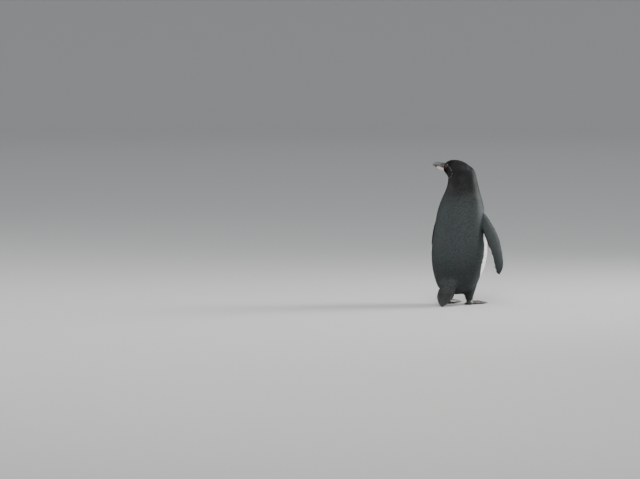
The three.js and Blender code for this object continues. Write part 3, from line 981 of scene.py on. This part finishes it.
inward = unit(net.spread(outer_normals, 10))
set_coordinates(skin_mesh, with_lids(outer - (net.spread(depth, 6) * MM)[:, None] * inward))
shade_smooth(skin_mesh)
skin_white = whiteness(outer, outer_normals, owner)
skin_bare = bare(outer, bill_gap)
skin_white = ease(-0.6, 0.6, skin_white) * line_strength(outer, owner)
put(skin_mesh, white=skin_white, bare=skin_bare, rosy=rosy(outer, bill_gap), lid=lid_share(outer))
add_piece("skin", skin_mesh, skin_material(), "body_plumage", *FLESH)

# ---- where the feathers grow ----
BARE = 0.5  # share of naked skin from which no feather grows
BILL_CLEAR = 1.2  # millimetres from the horn to the nearest feather
HEM = 11.0  # the lowest root's height, in body millimetres
TRIES = 4  # places tried for each feather
NEIGHBOURS = 6
YAW = math.radians(4)  # how far a feather strays from the lie of the coat
skin_tree = point_tree(outer)


def nearest_vertices(points):
    return np.array([skin_tree.find(p)[1] for p in points])


def onto(points, found):
    """Points brought onto the outer surface, at the vertices found nearest to them."""
    normal = outer_normals[found]
    return points - dot(points - outer[found], normal)[:, None] * normal


def past_stub(found):
    """True on the blunt end of the tail's flesh, which the coverts run straight over."""
    at_end = (body[found, 1] > 66) & (body[found, 2] < 62)
    return at_end & (dot(outer_normals[found], TAIL_DIRECTION) > 0.55)


def under_stub(found):
    """True under the tail's root, where the coat would run out between the tail feathers."""
    return (body[found, 1] > 60) & (body[found, 2] < 58) & (flow[found, 2] > -0.45)


def evened(points, rooms):
    """Pushes crowded roots apart over the surface, so that the feathers lie in even rows."""
    for _ in range(4):
        tree = point_tree(points)
        near = np.array([[f[1] for f in tree.find_n(p, NEIGHBOURS + 1)[1:]] for p in points])
        away = points[:, None] - points[near]
        gap = np.linalg.norm(away, axis=2, keepdims=True)
        push = np.clip(1.25 * rooms[:, None, None] - gap, 0, None) * away / np.maximum(gap, 1e-9)
        points = points + 0.28 * push.sum(axis=1)
        found = nearest_vertices(points)
        points = onto(points, found)
    keep = (skin_bare[found] < BARE) & (bill_gap[found] > BILL_CLEAR) & (body[found, 2] > HEM)
    keep &= ~under_stub(found)
    return points[keep], found[keep]


def grown_places():
    """Roots spread over the skin, no two nearer than the spacing there: (places, nearest vertices)."""
    faces = triangles_of(skin_mesh)
    a, b, c = (outer[faces[:, k]] for k in range(3))
    areas = np.linalg.norm(np.cross(b - a, c - a), axis=1) / 2 / MM**2
    chance = areas / spacing[faces].mean(axis=1) ** 2
    chance *= skin_bare[faces].mean(axis=1) < BARE
    chance *= bill_gap[faces].mean(axis=1) > BILL_CLEAR
    chance *= body[faces, 2].mean(axis=1) > HEM + 0.3
    chance *= ~past_stub(faces[:, 0])
    count = int(chance.sum() * TRIES)
    corners = faces[rng.choice(len(faces), count, p=chance / chance.sum())]
    u, v = rng.random(count), rng.random(count)
    over = u + v > 1
    u[over], v[over] = 1 - u[over], 1 - v[over]
    weights = np.stack((1 - u - v, u, v), axis=1)
    points = np.einsum("ij,ijk->ik", weights, outer[corners])
    rooms = np.einsum("ij,ij->i", weights, spacing[corners]) * MM
    kept = thinned(points, rooms, range(count))
    return evened(points[kept], rooms[kept])


def marched(points, way, normal, step):
    """Each point moved on by its step over the outer surface, keeping to the lie of the coat."""
    ahead = points + way * step[:, None]
    found = nearest_vertices(ahead)
    here = outer_normals[found]
    turned = unit(tangent(unit(way + 0.25 * flow[found]), here))
    pairs = ((ahead, onto(ahead, found)), (way, turned), (normal, here))
    straight = past_stub(found)[:, None]
    return [np.where(straight, kept, new) for kept, new in pairs], found


# ---- the feathers: closed vanes of 28 triangles ----
STATIONS = np.array((0, 0.5, 0.8, 0.925, 0.98))  # shares of a vane's length
SPREAD = np.array((0.4, 1.0, 0.92, 0.66, 0.34))  # its width there
SOFTNESS = 0.36  # how much of its own relief a vane's shading shows over the body's form
RING = 3 * len(STATIONS)  # left, quill and right at each station; the tip comes after them
VANE_ACROSS = np.array([-1, 0, 1] * len(STATIONS) + [0], float)
VANE_ALONG = np.append(np.repeat(STATIONS, 3), 1.0)


def uneven(count, most=2):
    return rng.standard_normal(count).clip(-most, most)


class Coat:
    """Every feather of the coat: its root, its run over the surface and its measures."""

    def __init__(self):
        self.root, near = grown_places()
        count = len(self.root)
        self.length = length[near] * MM * (1 + (0.10 + 0.10 * rump[near]) * uneven(count))
        self.width = width[near] * MM * (1 + 0.06 * uneven(count))
        self.depth = depth[near] * MM
        self.tone = uneven(count, 2.2)
        self.region = owner[near]
        way, self.normal = flow[near], outer_normals[near]
        yaw = YAW * uneven(count)
        aside = np.cross(way, self.normal)
        way = unit(way * np.cos(yaw)[:, None] + aside * np.sin(yaw)[:, None])
        self.run = [[self.root, way, self.normal]]
        shares = (*STATIONS, 1.0)
        for start, end in zip(shares, shares[1:]):
            run, found = marched(*self.run[-1], self.length * (end - start))
            self.run.append(run)
        self.tip, self.tip_near = run[0], found

    def vertices(self, mine):
        """Each vane's corners, and the directions that they shade by."""
        depth, half = self.depth[mine], self.width[mine] / 2
        lift = (0.02 + 0.03 * np.abs(self.tone[mine])) * depth
        slope = (SOFTNESS * depth / self.length[mine])[:, None]
        rows, facing = [], []
        for k, share in enumerate(STATIONS):
            place, way, normal = (a[mine] for a in self.run[k])
            height = -(depth + 0.25 * MM) * (1 - share) ** 0.9 + lift * share
            droop = 0.12 * depth * SPREAD[k]
            aside = np.cross(way, normal) * (half * SPREAD[k])[:, None]
            edge = place + normal * (height - droop)[:, None]
            rows += [edge - aside, place + normal * height[:, None], edge + aside]
            up = normal - way * slope
            tilt = aside * (SOFTNESS * droop / (half * SPREAD[k]) ** 2)[:, None]
            facing += [unit(up - tilt), unit(up), unit(up + tilt)]
        place, way, normal = (a[mine] for a in self.run[-1])
        rows.append(place + normal * (lift - 0.05 * depth)[:, None])
        facing.append(unit(normal - way * slope + way * 0.12))
        return np.stack(rows, axis=1), np.stack(facing, axis=1)


def vane():
    """One vane's triangles, and which way each shades: 1 above, -1 beneath and at the root's end."""
    faces, turn = [(0, 2, 1)], [-1]
    for a in range(0, RING - 3, 3):
        b = a + 3
        for i, j in ((0, 1), (1, 2), (2, 0)):
            faces += [(a + i, a + j, b + j), (a + i, b + j, b + i)]
        turn += [1, 1, 1, 1, -1, -1]
    a = RING - 3
    faces += [(a, a + 1, RING), (a + 1, a + 2, RING), (a + 2, a, RING)]
    return np.array(faces), np.array(turn + [1, 1, -1])


def vane_mesh(name, verts, facing):
    """A mesh of many vanes, from their corners and the directions of these (n, size, 3)."""
    one, turn = vane()
    count, size = verts.shape[:2]
    faces = (one[None] + (np.arange(count) * size)[:, None, None]).reshape(-1, 3)
    mesh = bpy.data.meshes.new(name)
    mesh.vertices.add(count * size)
    mesh.vertices.foreach_set("co", verts.astype(np.float32).ravel())
    mesh.loops.add(faces.size)
    mesh.loops.foreach_set("vertex_index", faces.astype(np.int32).ravel())
    mesh.polygons.add(len(faces))
    mesh.polygons.foreach_set("loop_start", np.arange(0, faces.size, 3, dtype=np.int32))
    mesh.update(calc_edges=True)
    shade_smooth(mesh)
    corners = facing[:, one] * turn[:, None, None]
    mesh.normals_split_custom_set(corners.reshape(-1, 3).astype(np.float32))
    return mesh


# ---- unwraps: each gives places from 0 to 1 round and along a stretch of the body ----
PATCH = (0.0015, 0.003)  # one vane's own patch of the map


def fitted(values):
    """Values spread to 0.01 to 0.99."""
    values = values - values.min()
    return 0.01 + 0.98 * values / max(values.max(), 1e-9)


def round_body(points, *_):
    """The angle round, and the way down over the surface."""
    x, y, z = in_body(points).T
    return fitted(np.arctan2(x, 2 - y)), fitted(z + 0.8 * np.hypot(x, y - 2))


def round_leg(points, *_):
    x, y, z = in_body(points).T
    return fitted(np.arctan2(np.abs(x) - LEG_ASIDE / MM, 3 - y)), fitted(z)


def round_head(points, *_):
    forward, aside, up = in_head(points).T
    return fitted(np.arctan2(up, aside)), fitted(np.arctan2(np.hypot(aside, up), forward))


def over_wing(side):
    """The outer face beside the inner one."""

    def unwrap(points, normals):
        span, chord, out, _ = WINGS[side].places(points, normals)
        across = np.clip(chord, -0.1, 1.1) * 0.4 + np.where(out > 0, 0.02, 0.55)
        return np.clip(across + 0.02, 0.005, 0.995), fitted(span)

    return unwrap


# ---- the coat ----
BACK_ANGLE = 95  # degrees from the breast's middle line, where the back's piece begins
HOOD_EDGE = (262, 352)  # heights between which the back's colours pass into the head's
LOW_EDGE, LOW_PAINTED_SHADE = (165, 95), 0.42  # painted shade: the same going down the back, darker towards the rump but less dark than the head
HEIGHT_SPREAD = 7  # millimetres, of both edges from feather to feather
CHIN_FLECKS = 0.42  # the share of white feathers on the chin
BELLY_SPOTS = 9


def feather_white(coat):
    """Each feather's own marking, taken at its tip, with uneven edges and a few odd feathers."""
    white = whiteness(coat.tip, outer_normals[coat.tip_near], owner[coat.tip_near])
    count = len(white)
    upper = is_on(coat.region, "head", "neck")
    on_wing = is_on(coat.region, "wing_left", "wing_right")
    white = white + np.where(upper, 0.2, np.where(on_wing, 0.3, 0.5)) * uneven(count)
    share = np.where(upper, 0.45 + 0.4 * rng.random(count), 1)
    result = ease(-0.5, 0.5, white) * line_strength(coat.tip, coat.region) * share
    forward, _, up = in_head(coat.tip).T
    places = in_body(coat.tip)
    chin = (up < -11) & (forward > 20) & is_on(coat.region, "head") & (places[:, 2] > 352)
    flecks = (rng.random(count) < CHIN_FLECKS) * (0.35 + 0.5 * rng.random(count))
    result = np.where(chin, np.maximum(result, flecks), result)
    belly = (result > 0.9) & is_on(coat.region, "trunk") & (places[:, 2] > 110)
    for spot in rng.choice(np.flatnonzero(belly), BELLY_SPOTS, replace=False):
        near = np.linalg.norm(places - places[spot], axis=1) < 2.6
        result[near & belly] = 0.08
    return result


def feather_piece(name, mine, unwrap, material, slot):
    """One piece of the coat, from the feathers that are True in mine."""
    mine = np.flatnonzero(mine)
    verts, facing = coat.vertices(mine)
    mesh = vane_mesh(name, verts, facing)
    put(mesh, across=np.tile(VANE_ACROSS, len(mine)), along=np.tile(VANE_ALONG, len(mine)))
    own = (np.repeat(values[mine], verts.shape[1]) for values in (coat.white, coat.tone, coat.hood))
    put(mesh, **dict(zip(("white", "tone", "hood"), own)))
    places = np.stack(unwrap(coat.root[mine], coat.normal[mine]), axis=1)
    patch = np.stack((VANE_ACROSS, VANE_ALONG - 0.5), axis=-1) * np.array(PATCH)
    bake_map(mesh, places[:, None, :] + patch)
    add_piece(name, mesh, material, slot)


coat = Coat()
coat.white = feather_white(coat)
roots = in_body(coat.root)
height = roots[:, 2] + HEIGHT_SPREAD * uneven(len(roots))
# the head's darker colours, and painted shade that darkens the lower back towards the bottom
coat.hood = ease(*HOOD_EDGE, height) + LOW_PAINTED_SHADE * ease(*LOW_EDGE, height)
angle = angle_round(roots)
BODY_PLUMAGE = plumage("body_plumage", *MANTLE, HOOD)
HEAD_PLUMAGE = plumage("head_plumage", *MANTLE, HOOD)
WING_PLUMAGE = plumage("flipper_plumage", *FLIPPER)
for half, side in ((roots[:, 0] > 0, "left"), (roots[:, 0] <= 0, "right")):
    trunk = is_on(coat.region, "trunk") & half
    back = trunk & (angle > BACK_ANGLE)
    leg, wing = (is_on(coat.region, f"{part}_{side}") for part in ("leg", "wing"))
    feather_piece(f"coat_back_{side}", back, round_body, BODY_PLUMAGE, "body_plumage")
    feather_piece(f"coat_breast_{side}", trunk & ~back, round_body, BODY_PLUMAGE, "body_plumage")
    feather_piece(f"coat_leg_{side}", leg, round_leg, BODY_PLUMAGE, "body_plumage")
    feather_piece(f"coat_wing_{side}", wing, over_wing(side), WING_PLUMAGE, "flipper_plumage")
feather_piece("coat_neck", is_on(coat.region, "neck"), round_body, HEAD_PLUMAGE, "body_plumage")
feather_piece("coat_head", is_on(coat.region, "head"), round_head, HEAD_PLUMAGE, "head_plumage")
feather_piece("coat_rump", is_on(coat.region, "tail"), round_body, BODY_PLUMAGE, "body_plumage")

# ---- bill ----
GAPE_DROP = 2.2  # how far the line between the mandibles drops towards the corner of the mouth, in mm
HOOK_START, HOOK_DROP, BILL_TIP = 70, 5.6, 91
UPPER_BILL = (  # distance forward of the head's middle, half width, culmen
    (32, 7.5, 12.6), (41, 7.5, 12.6), (51, 6.8, 11.8), (62, 5.8, 10.9), (73, 4.8, 9.8),
    (82, 3.6, 7.2), (88, 2.3, 2.6), (BILL_TIP, 1.0, -3.2),
)
LOWER_BILL = (  # the same, with the keel
    (32, 7.1, -11.6), (40, 7.1, -11.6), (50, 6.4, -11.2), (60, 5.5, -10.1), (70, 4.5, -8.5),
    (78, 3.2, -6.9), (84, 1.5, -5.3),
)
BILL_GAP = 0.15  # millimetres from each mandible to the line between them
BLUNT = 2.6  # millimetres over which a mandible's tip rounds off


def tube(name, rings, material, slot, replaced, values):
    """A closed surface through rings of points (n, m, 3), with values for its vertices."""
    mesh = closed_mesh(name, rings.reshape(-1, 3), tube_faces(*rings.shape[:2]))
    put(mesh, **values)
    add_piece(name, mesh, material, slot, replaced)


def tomium(t):
    """Height above the head's axis of the cutting edges, where the mandibles meet."""
    gape = GAPE_DROP * (ease(36, 68, t) - 1)
    return gape - HOOK_DROP * np.maximum((t - HOOK_START) / (BILL_TIP - HOOK_START), 0) ** 3


def bill_relief(t, up, across, lower):
    """Millimetres that the horn's surface sinks, at t along the bill and up from edge (0) to ridge (1)."""
    sunk = 0.018 * (1 + np.sin(t * 4.4 + 5 * up)) * ease(75, 50, t) * ease(1, 0.3, up)
    if lower:
        sunk = sunk + 0.30 * hump(up, 0.46, 0.07) * ease(80, 66, t)
        sunk = sunk + 0.9 * hump(across, 0, 0.9) * ease(64, 54, t) * (up > 0.8)
        return sunk + 0.12 * hump(t - 6 * up, 56, 0.6)
    line = 0.50 + 0.004 * (t - 50)
    sunk = sunk + 0.45 * hump(up, line, 0.06) * ease(74, 60, t)  # the groove that holds the nostril
    sunk = sunk + 1.15 * hump(t, 51.5, 3.0) * hump(up, line, 0.055)
    sunk = sunk - 0.22 * hump(up, line + 0.16, 0.07) * hump(t, 52, 6)
    sunk = sunk + 0.16 * hump(up, 0.84, 0.035) * ease(82, 70, t)
    sunk = sunk + 0.14 * hump(up, 0.16, 0.04) * ease(86, 74, t)
    return sunk + 0.16 * hump(t + 9 * up, 82, 0.5)


def mandible(table, lower):
    """Rings round one mandible, and its material's values there."""
    rows = stations(table, np.linspace(0, 1, 150))
    angle = np.linspace(0, math.pi, 66)
    flat = np.linspace(-1, 1, 9)[1:-1]
    aside_share = np.concatenate((np.cos(angle), flat))
    up_share = np.concatenate((np.sin(angle), np.zeros(len(flat))))
    t, side, ridge = (rows[:, k][:, None] for k in range(3))
    edge = tomium(t) + (-BILL_GAP if lower else BILL_GAP)
    last = np.clip((t - (t.max() - BLUNT)) / BLUNT, 0, 1)
    close = np.sqrt(1 - 0.995 * last**2)
    core = edge + 0.35 * (ridge - edge)
    side = side * close
    edge, ridge = (core + (v - core) * close for v in (edge, ridge))
    across = side * np.sign(aside_share) * np.abs(aside_share) ** 0.9
    up = edge + (ridge - edge) * up_share**0.94
    curved = np.concatenate((np.ones(len(angle)), np.zeros(len(flat))))
    sunk = bill_relief(t, up_share[None], across, lower) * curved * ease(0.0, 0.1, up_share)[None]
    high = np.abs(ridge - edge)
    out = unit(np.stack((across * high / side, (up - edge) * side / high), axis=-1))
    across = across - out[..., 0] * sunk
    up = up - out[..., 1] * sunk
    t, up_share = (np.broadcast_to(v, across.shape) for v in (t, up_share))
    local = np.stack((t, across, up), axis=-1)
    return HEAD_CENTRE + local @ HEAD_AXES * MM, {"t": t, "up": up_share, "sunk": sunk}


for half, table, slot in (("upper", UPPER_BILL, "bill_horn_dark"), ("lower", LOWER_BILL, "bill_horn_pale")):
    places, values = mandible(table, half == "lower")
    horn = horn_material(slot, half == "lower")
    tube(f"bill_{half}_horn", places, horn, slot, f"bill_{half}", values)

# ---- eyes ----
BACK_OF_EYE = 7.0  # the value of rho behind, past the iris's edge
CORNEA = 0.26  # millimetres that the cornea stands out
EYE_WET = eye_material()
for side, eye in EYES.items():
    axis, fore, _ = eye_axes(side)
    over = np.cross(axis, fore)
    theta = np.linspace(0.012, math.pi - 0.01, 90)[:, None]
    turn = np.linspace(0, 2 * math.pi, 97)[:-1][None]
    radius = EYE_RADIUS / MM - 0.02 + CORNEA * np.clip(1 - (theta / 0.72) ** 2, 0, 1) ** 2
    rho = radius * np.sin(theta) * np.ones_like(turn)
    local = (radius * np.cos(theta))[..., None] * axis
    local = local + (rho * np.cos(turn))[..., None] * fore + (rho * np.sin(turn))[..., None] * over
    seen = np.where(theta < math.pi / 2, rho, BACK_OF_EYE)
    tube(f"eyeball_{side}", eye + local * MM, EYE_WET, "eye", f"eye_{side}", {"rho": seen})

# ---- feet ----
FOOT_SPLAY = 9
TOES = {"inner": (50, -25), "middle": (60, -1), "outer": (55, 23), "hind": (20, -80)}  # reach, degrees
SOLE = 0.12  # millimetres over the floor that are pressed flat
FOOT_VOXEL = 0.62 * MM
SCALE_ROOM = 1.15 * MM
CLAW_VOXEL = 0.3 * MM
FOOT_SKIN = foot_material()
CLAW_HORN = claw_material()


def toe_places(points, sign):
    """For places in body millimetres: along and across the nearest toe, and the gap to it."""
    best = np.full(len(points), np.inf)
    on_along, on_across = np.zeros((2, len(points)))
    for reach, angle in TOES.values():
        turn = math.radians(angle + FOOT_SPLAY)
        way = np.array((sign * math.sin(turn), -math.cos(turn)))
        local = points[:, :2] - ankles(points)
        along, across = local @ way, local @ (way[1], -way[0])
        gap = np.hypot(across, np.maximum(along - reach, 0)) - 0.02 * along
        nearer = (gap < best) & (along > 6)
        for values, new in ((best, gap), (on_along, along), (on_across, across)):
            values[nearer] = new[nearer]
    return on_along, on_across, best


def cells(points, room):
    """0 in the cracks between scattered cells and towards 1 in their middles."""
    order = rng.permutation(len(points))
    seeds = point_tree(points[thinned(points, np.full(len(points), room), order)])
    near = np.array([[found[2] for found in seeds.find_n(p, 2)] for p in points])
    return np.clip((near[:, 1] - near[:, 0]) / (0.75 * room), 0, 1)


def slimmed(points):
    """Draws in the shank's top, which stands under the leg's feathers, and rounds the heel."""
    places = in_body(points)
    aside = places[:, :2] - ankles(places)
    near = ease(24, 17, np.hypot(*aside.T))
    shank = near * ease(5, 15, places[:, 2])
    heel = near * ease(1, 8, aside[:, 1]) * ease(8, 0, places[:, 2])
    places[:, :2] -= aside * (0.17 * shank + 0.14 * heel)[:, None]
    return STANCE + places * MM


def foot(side):
    """A webbed foot, with scutes along the toes, pebbled skin and sagging webs."""
    node = "foot_" + side
    mesh = remeshed([bmesh_of_node(node)], FOOT_VOXEL, "webbed_" + node)
    mesh_net = Net(mesh)
    points = slimmed(mesh_net.fair(coordinates(mesh), 10))
    set_coordinates(mesh, points)
    normals = unit(mesh_net.spread(normals_of(mesh), 2))
    places = in_body(points)
    along, across, gap = toe_places(places, 1 if side == "left" else -1)
    upper = ease(0.15, 0.5, normals[:, 2]) * (places[:, 2] < 14)
    on_toe = ease(5.2, 3.4, gap) * ease(6, 12, along) * upper
    scute = np.abs(np.sin(math.pi * (along + 0.05 * across**2) / 2.7)) ** 0.35
    scute *= 1 - 0.35 * hump(np.abs(across), 2.7, 0.35)
    pebble = cells(points, SCALE_ROOM)
    relief = on_toe * 0.34 * (scute - 1) + (1 - on_toe) * 0.24 * (pebble**0.5 - 1)
    web = (1 - ease(4.5, 3.0, gap)) * ease(10, 18, np.hypot(*(places[:, :2] - ankles(places)).T))
    sag = -0.55 * web * upper * (1 + 0.4 * np.cos(along * 0.9))
    points = points + normals * ((relief + sag) * ease(0.25, 1.6, places[:, 2]) * MM)[:, None]
    points[:, 2] = np.maximum(points[:, 2], 0)
    points[places[:, 2] < SOLE, 2] = 0
    set_coordinates(mesh, points)
    shade_smooth(mesh)
    put(mesh, pebble=on_toe * scute + (1 - on_toe) * pebble, top=normals[:, 2], web=web)
    add_piece("webbed_" + node, mesh, FOOT_SKIN, "foot_skin", node)


def claw(node):
    mesh = remeshed([bmesh_of_node(node, 0.04 * MM)], CLAW_VOXEL, "horn_" + node)
    points = Net(mesh).fair(coordinates(mesh), 16)
    points[:, 2] = np.maximum(points[:, 2], 0.1 * MM)
    set_coordinates(mesh, points)
    shade_smooth(mesh)
    add_piece("horn_" + node, mesh, CLAW_HORN, "claw_horn", node)


for side in EYES:
    foot(side)
    for toe in TOES:
        claw(f"claw_{toe}_{side}")

# ---- tail ----
TAIL = (  # y, z, half width and half thickness, in body millimetres
    (52, 84, 24, 14), (66, 62, 28, 12), (82, 38, 28.5, 8), (97, 14, 25.5, 5), (106, -2, 20, 3),
)
TAIL_START = 0.06  # share of the tail's length at which its feathers begin
QUILLS, UNDER_QUILLS = 16, 9
COVERTS = ((15, 0.58, 0.7), (14, 0.50, 1.3), (13, 0.42, 1.9))  # count, reach, height over the quills
STIFF_ACROSS = np.array((-1, -0.72, -0.42, -0.13, 0, 0.13, 0.42, 0.72, 1))
FLOOR_GAP = 0.15  # millimetres


def tail_feather(place, share, under=False, above=0.0, girth=1.0):
    """One stiff feather down the tail's wedge: place -1 to 1 across it, share of its length."""
    s = np.linspace(TAIL_START, share, 40)
    y, z, half, thick = stations(TAIL, s).T
    run = (s - TAIL_START) / (share - TAIL_START)
    way = unit(np.gradient(np.stack((y, z), axis=1), axis=0))
    lift = np.stack((-way[:, 1], way[:, 0]), axis=1)  # up and back from the wedge's middle
    x = place * (half - 4.6) * (0.42 + 0.58 * ease(0.0, 0.62, s))
    reach = 4.5 * girth * (0.72 + 0.28 * ease(0, 0.3, run)) * (1 - 0.30 * run)
    reach = reach * np.clip(1 - ease(0.74, 1.06, run) ** 1.4, 0.09, 1)
    arch = np.sqrt(np.clip(1 - (x / half) ** 2, 0.02, 1))
    slope = -x * thick / half**2 / arch
    if under:
        height, slope = -thick * arch * 0.62, slope * -0.6
    else:
        rise = 0.55 + 0.31 * ease(0.08, 0.5, s)
        height = thick * arch * (rise - 0.1 * abs(place)) - 0.35 * abs(place) * QUILLS / 2
    height = height + above
    u = STIFF_ACROSS[None]
    frill = 0.10 * np.sin(run * 60 + place * 9)[:, None] * (np.abs(u) > 0.9)
    top = height[:, None] + slope[:, None] * reach[:, None] * u - 0.35 * u**2 + 0.42 * hump(u, 0, 0.09)
    deep = 0.42 * (1 - 0.75 * u**2) + 0.08
    faces = []
    for face, across in ((top, u), ((top - deep)[:, ::-1], u[:, ::-1])):
        xs = x[:, None] + (reach[:, None] + frill) * across
        ys, zs = (start[:, None] + lift[:, k : k + 1] * face for k, start in enumerate((y, z)))
        faces.append(np.stack((xs, ys, zs), axis=-1))
    rings = np.concatenate(faces, axis=1)
    rings[..., 2] = np.maximum(rings[..., 2], FLOOR_GAP)
    across = np.concatenate((STIFF_ACROSS, STIFF_ACROSS[::-1]))
    return rings, np.tile(run[:, None], (1, len(across))), np.tile(across, (len(run), 1))


def tail():
    """The fan of quills, a shorter row under it and three rows of coverts, in one mesh."""

    def fan(count):
        return (-1 + 2 * k / (count - 1) for k in range(count))

    made = []
    for under, count in ((False, QUILLS), (True, UNDER_QUILLS)):
        for place in fan(count):
            share = 0.972 - 0.30 * abs(place) ** 1.5 + 0.012 * rng.standard_normal()
            if under:
                share = 0.70 - 0.16 * abs(place) + 0.015 * rng.standard_normal()
            made.append((*tail_feather(place, min(share, 0.975), under), rng.standard_normal()))
    for count, share, above in COVERTS:
        for place in fan(count):
            reach = share - 0.07 * abs(place) + 0.014 * rng.standard_normal()
            made.append((*tail_feather(0.98 * place, reach, False, above, 1.15), rng.standard_normal()))
    rings, along, across, tones = (np.array(values) for values in zip(*made))
    number, count, size = along.shape
    faces = [face for k in range(number) for face in tube_faces(count, size, k * count * size)]
    mesh = closed_mesh("tail_feathers", STANCE + rings.reshape(-1, 3) * MM, faces)
    tones = np.repeat(tones, count * size)
    put(mesh, along=along, across=across, tone=tones, white=np.zeros(len(tones)))
    column = (np.arange(number) + 0.5)[:, None, None] / number
    turn = np.linspace(-0.48, 0.48, size) / number
    bake_map(mesh, np.stack(np.broadcast_arrays(column + turn, 0.02 + 0.96 * along), axis=-1))
    add_piece("tail_quills", mesh, plumage("tail_feathers", *TAIL_DARK), "tail_feathers")


tail()


def size_json():
    boxes = {"cad": CAD_BOX, "visual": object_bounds()}
    plain = {k: [[float(x) for x in corner] for corner in v] for k, v in boxes.items()}


size_json()
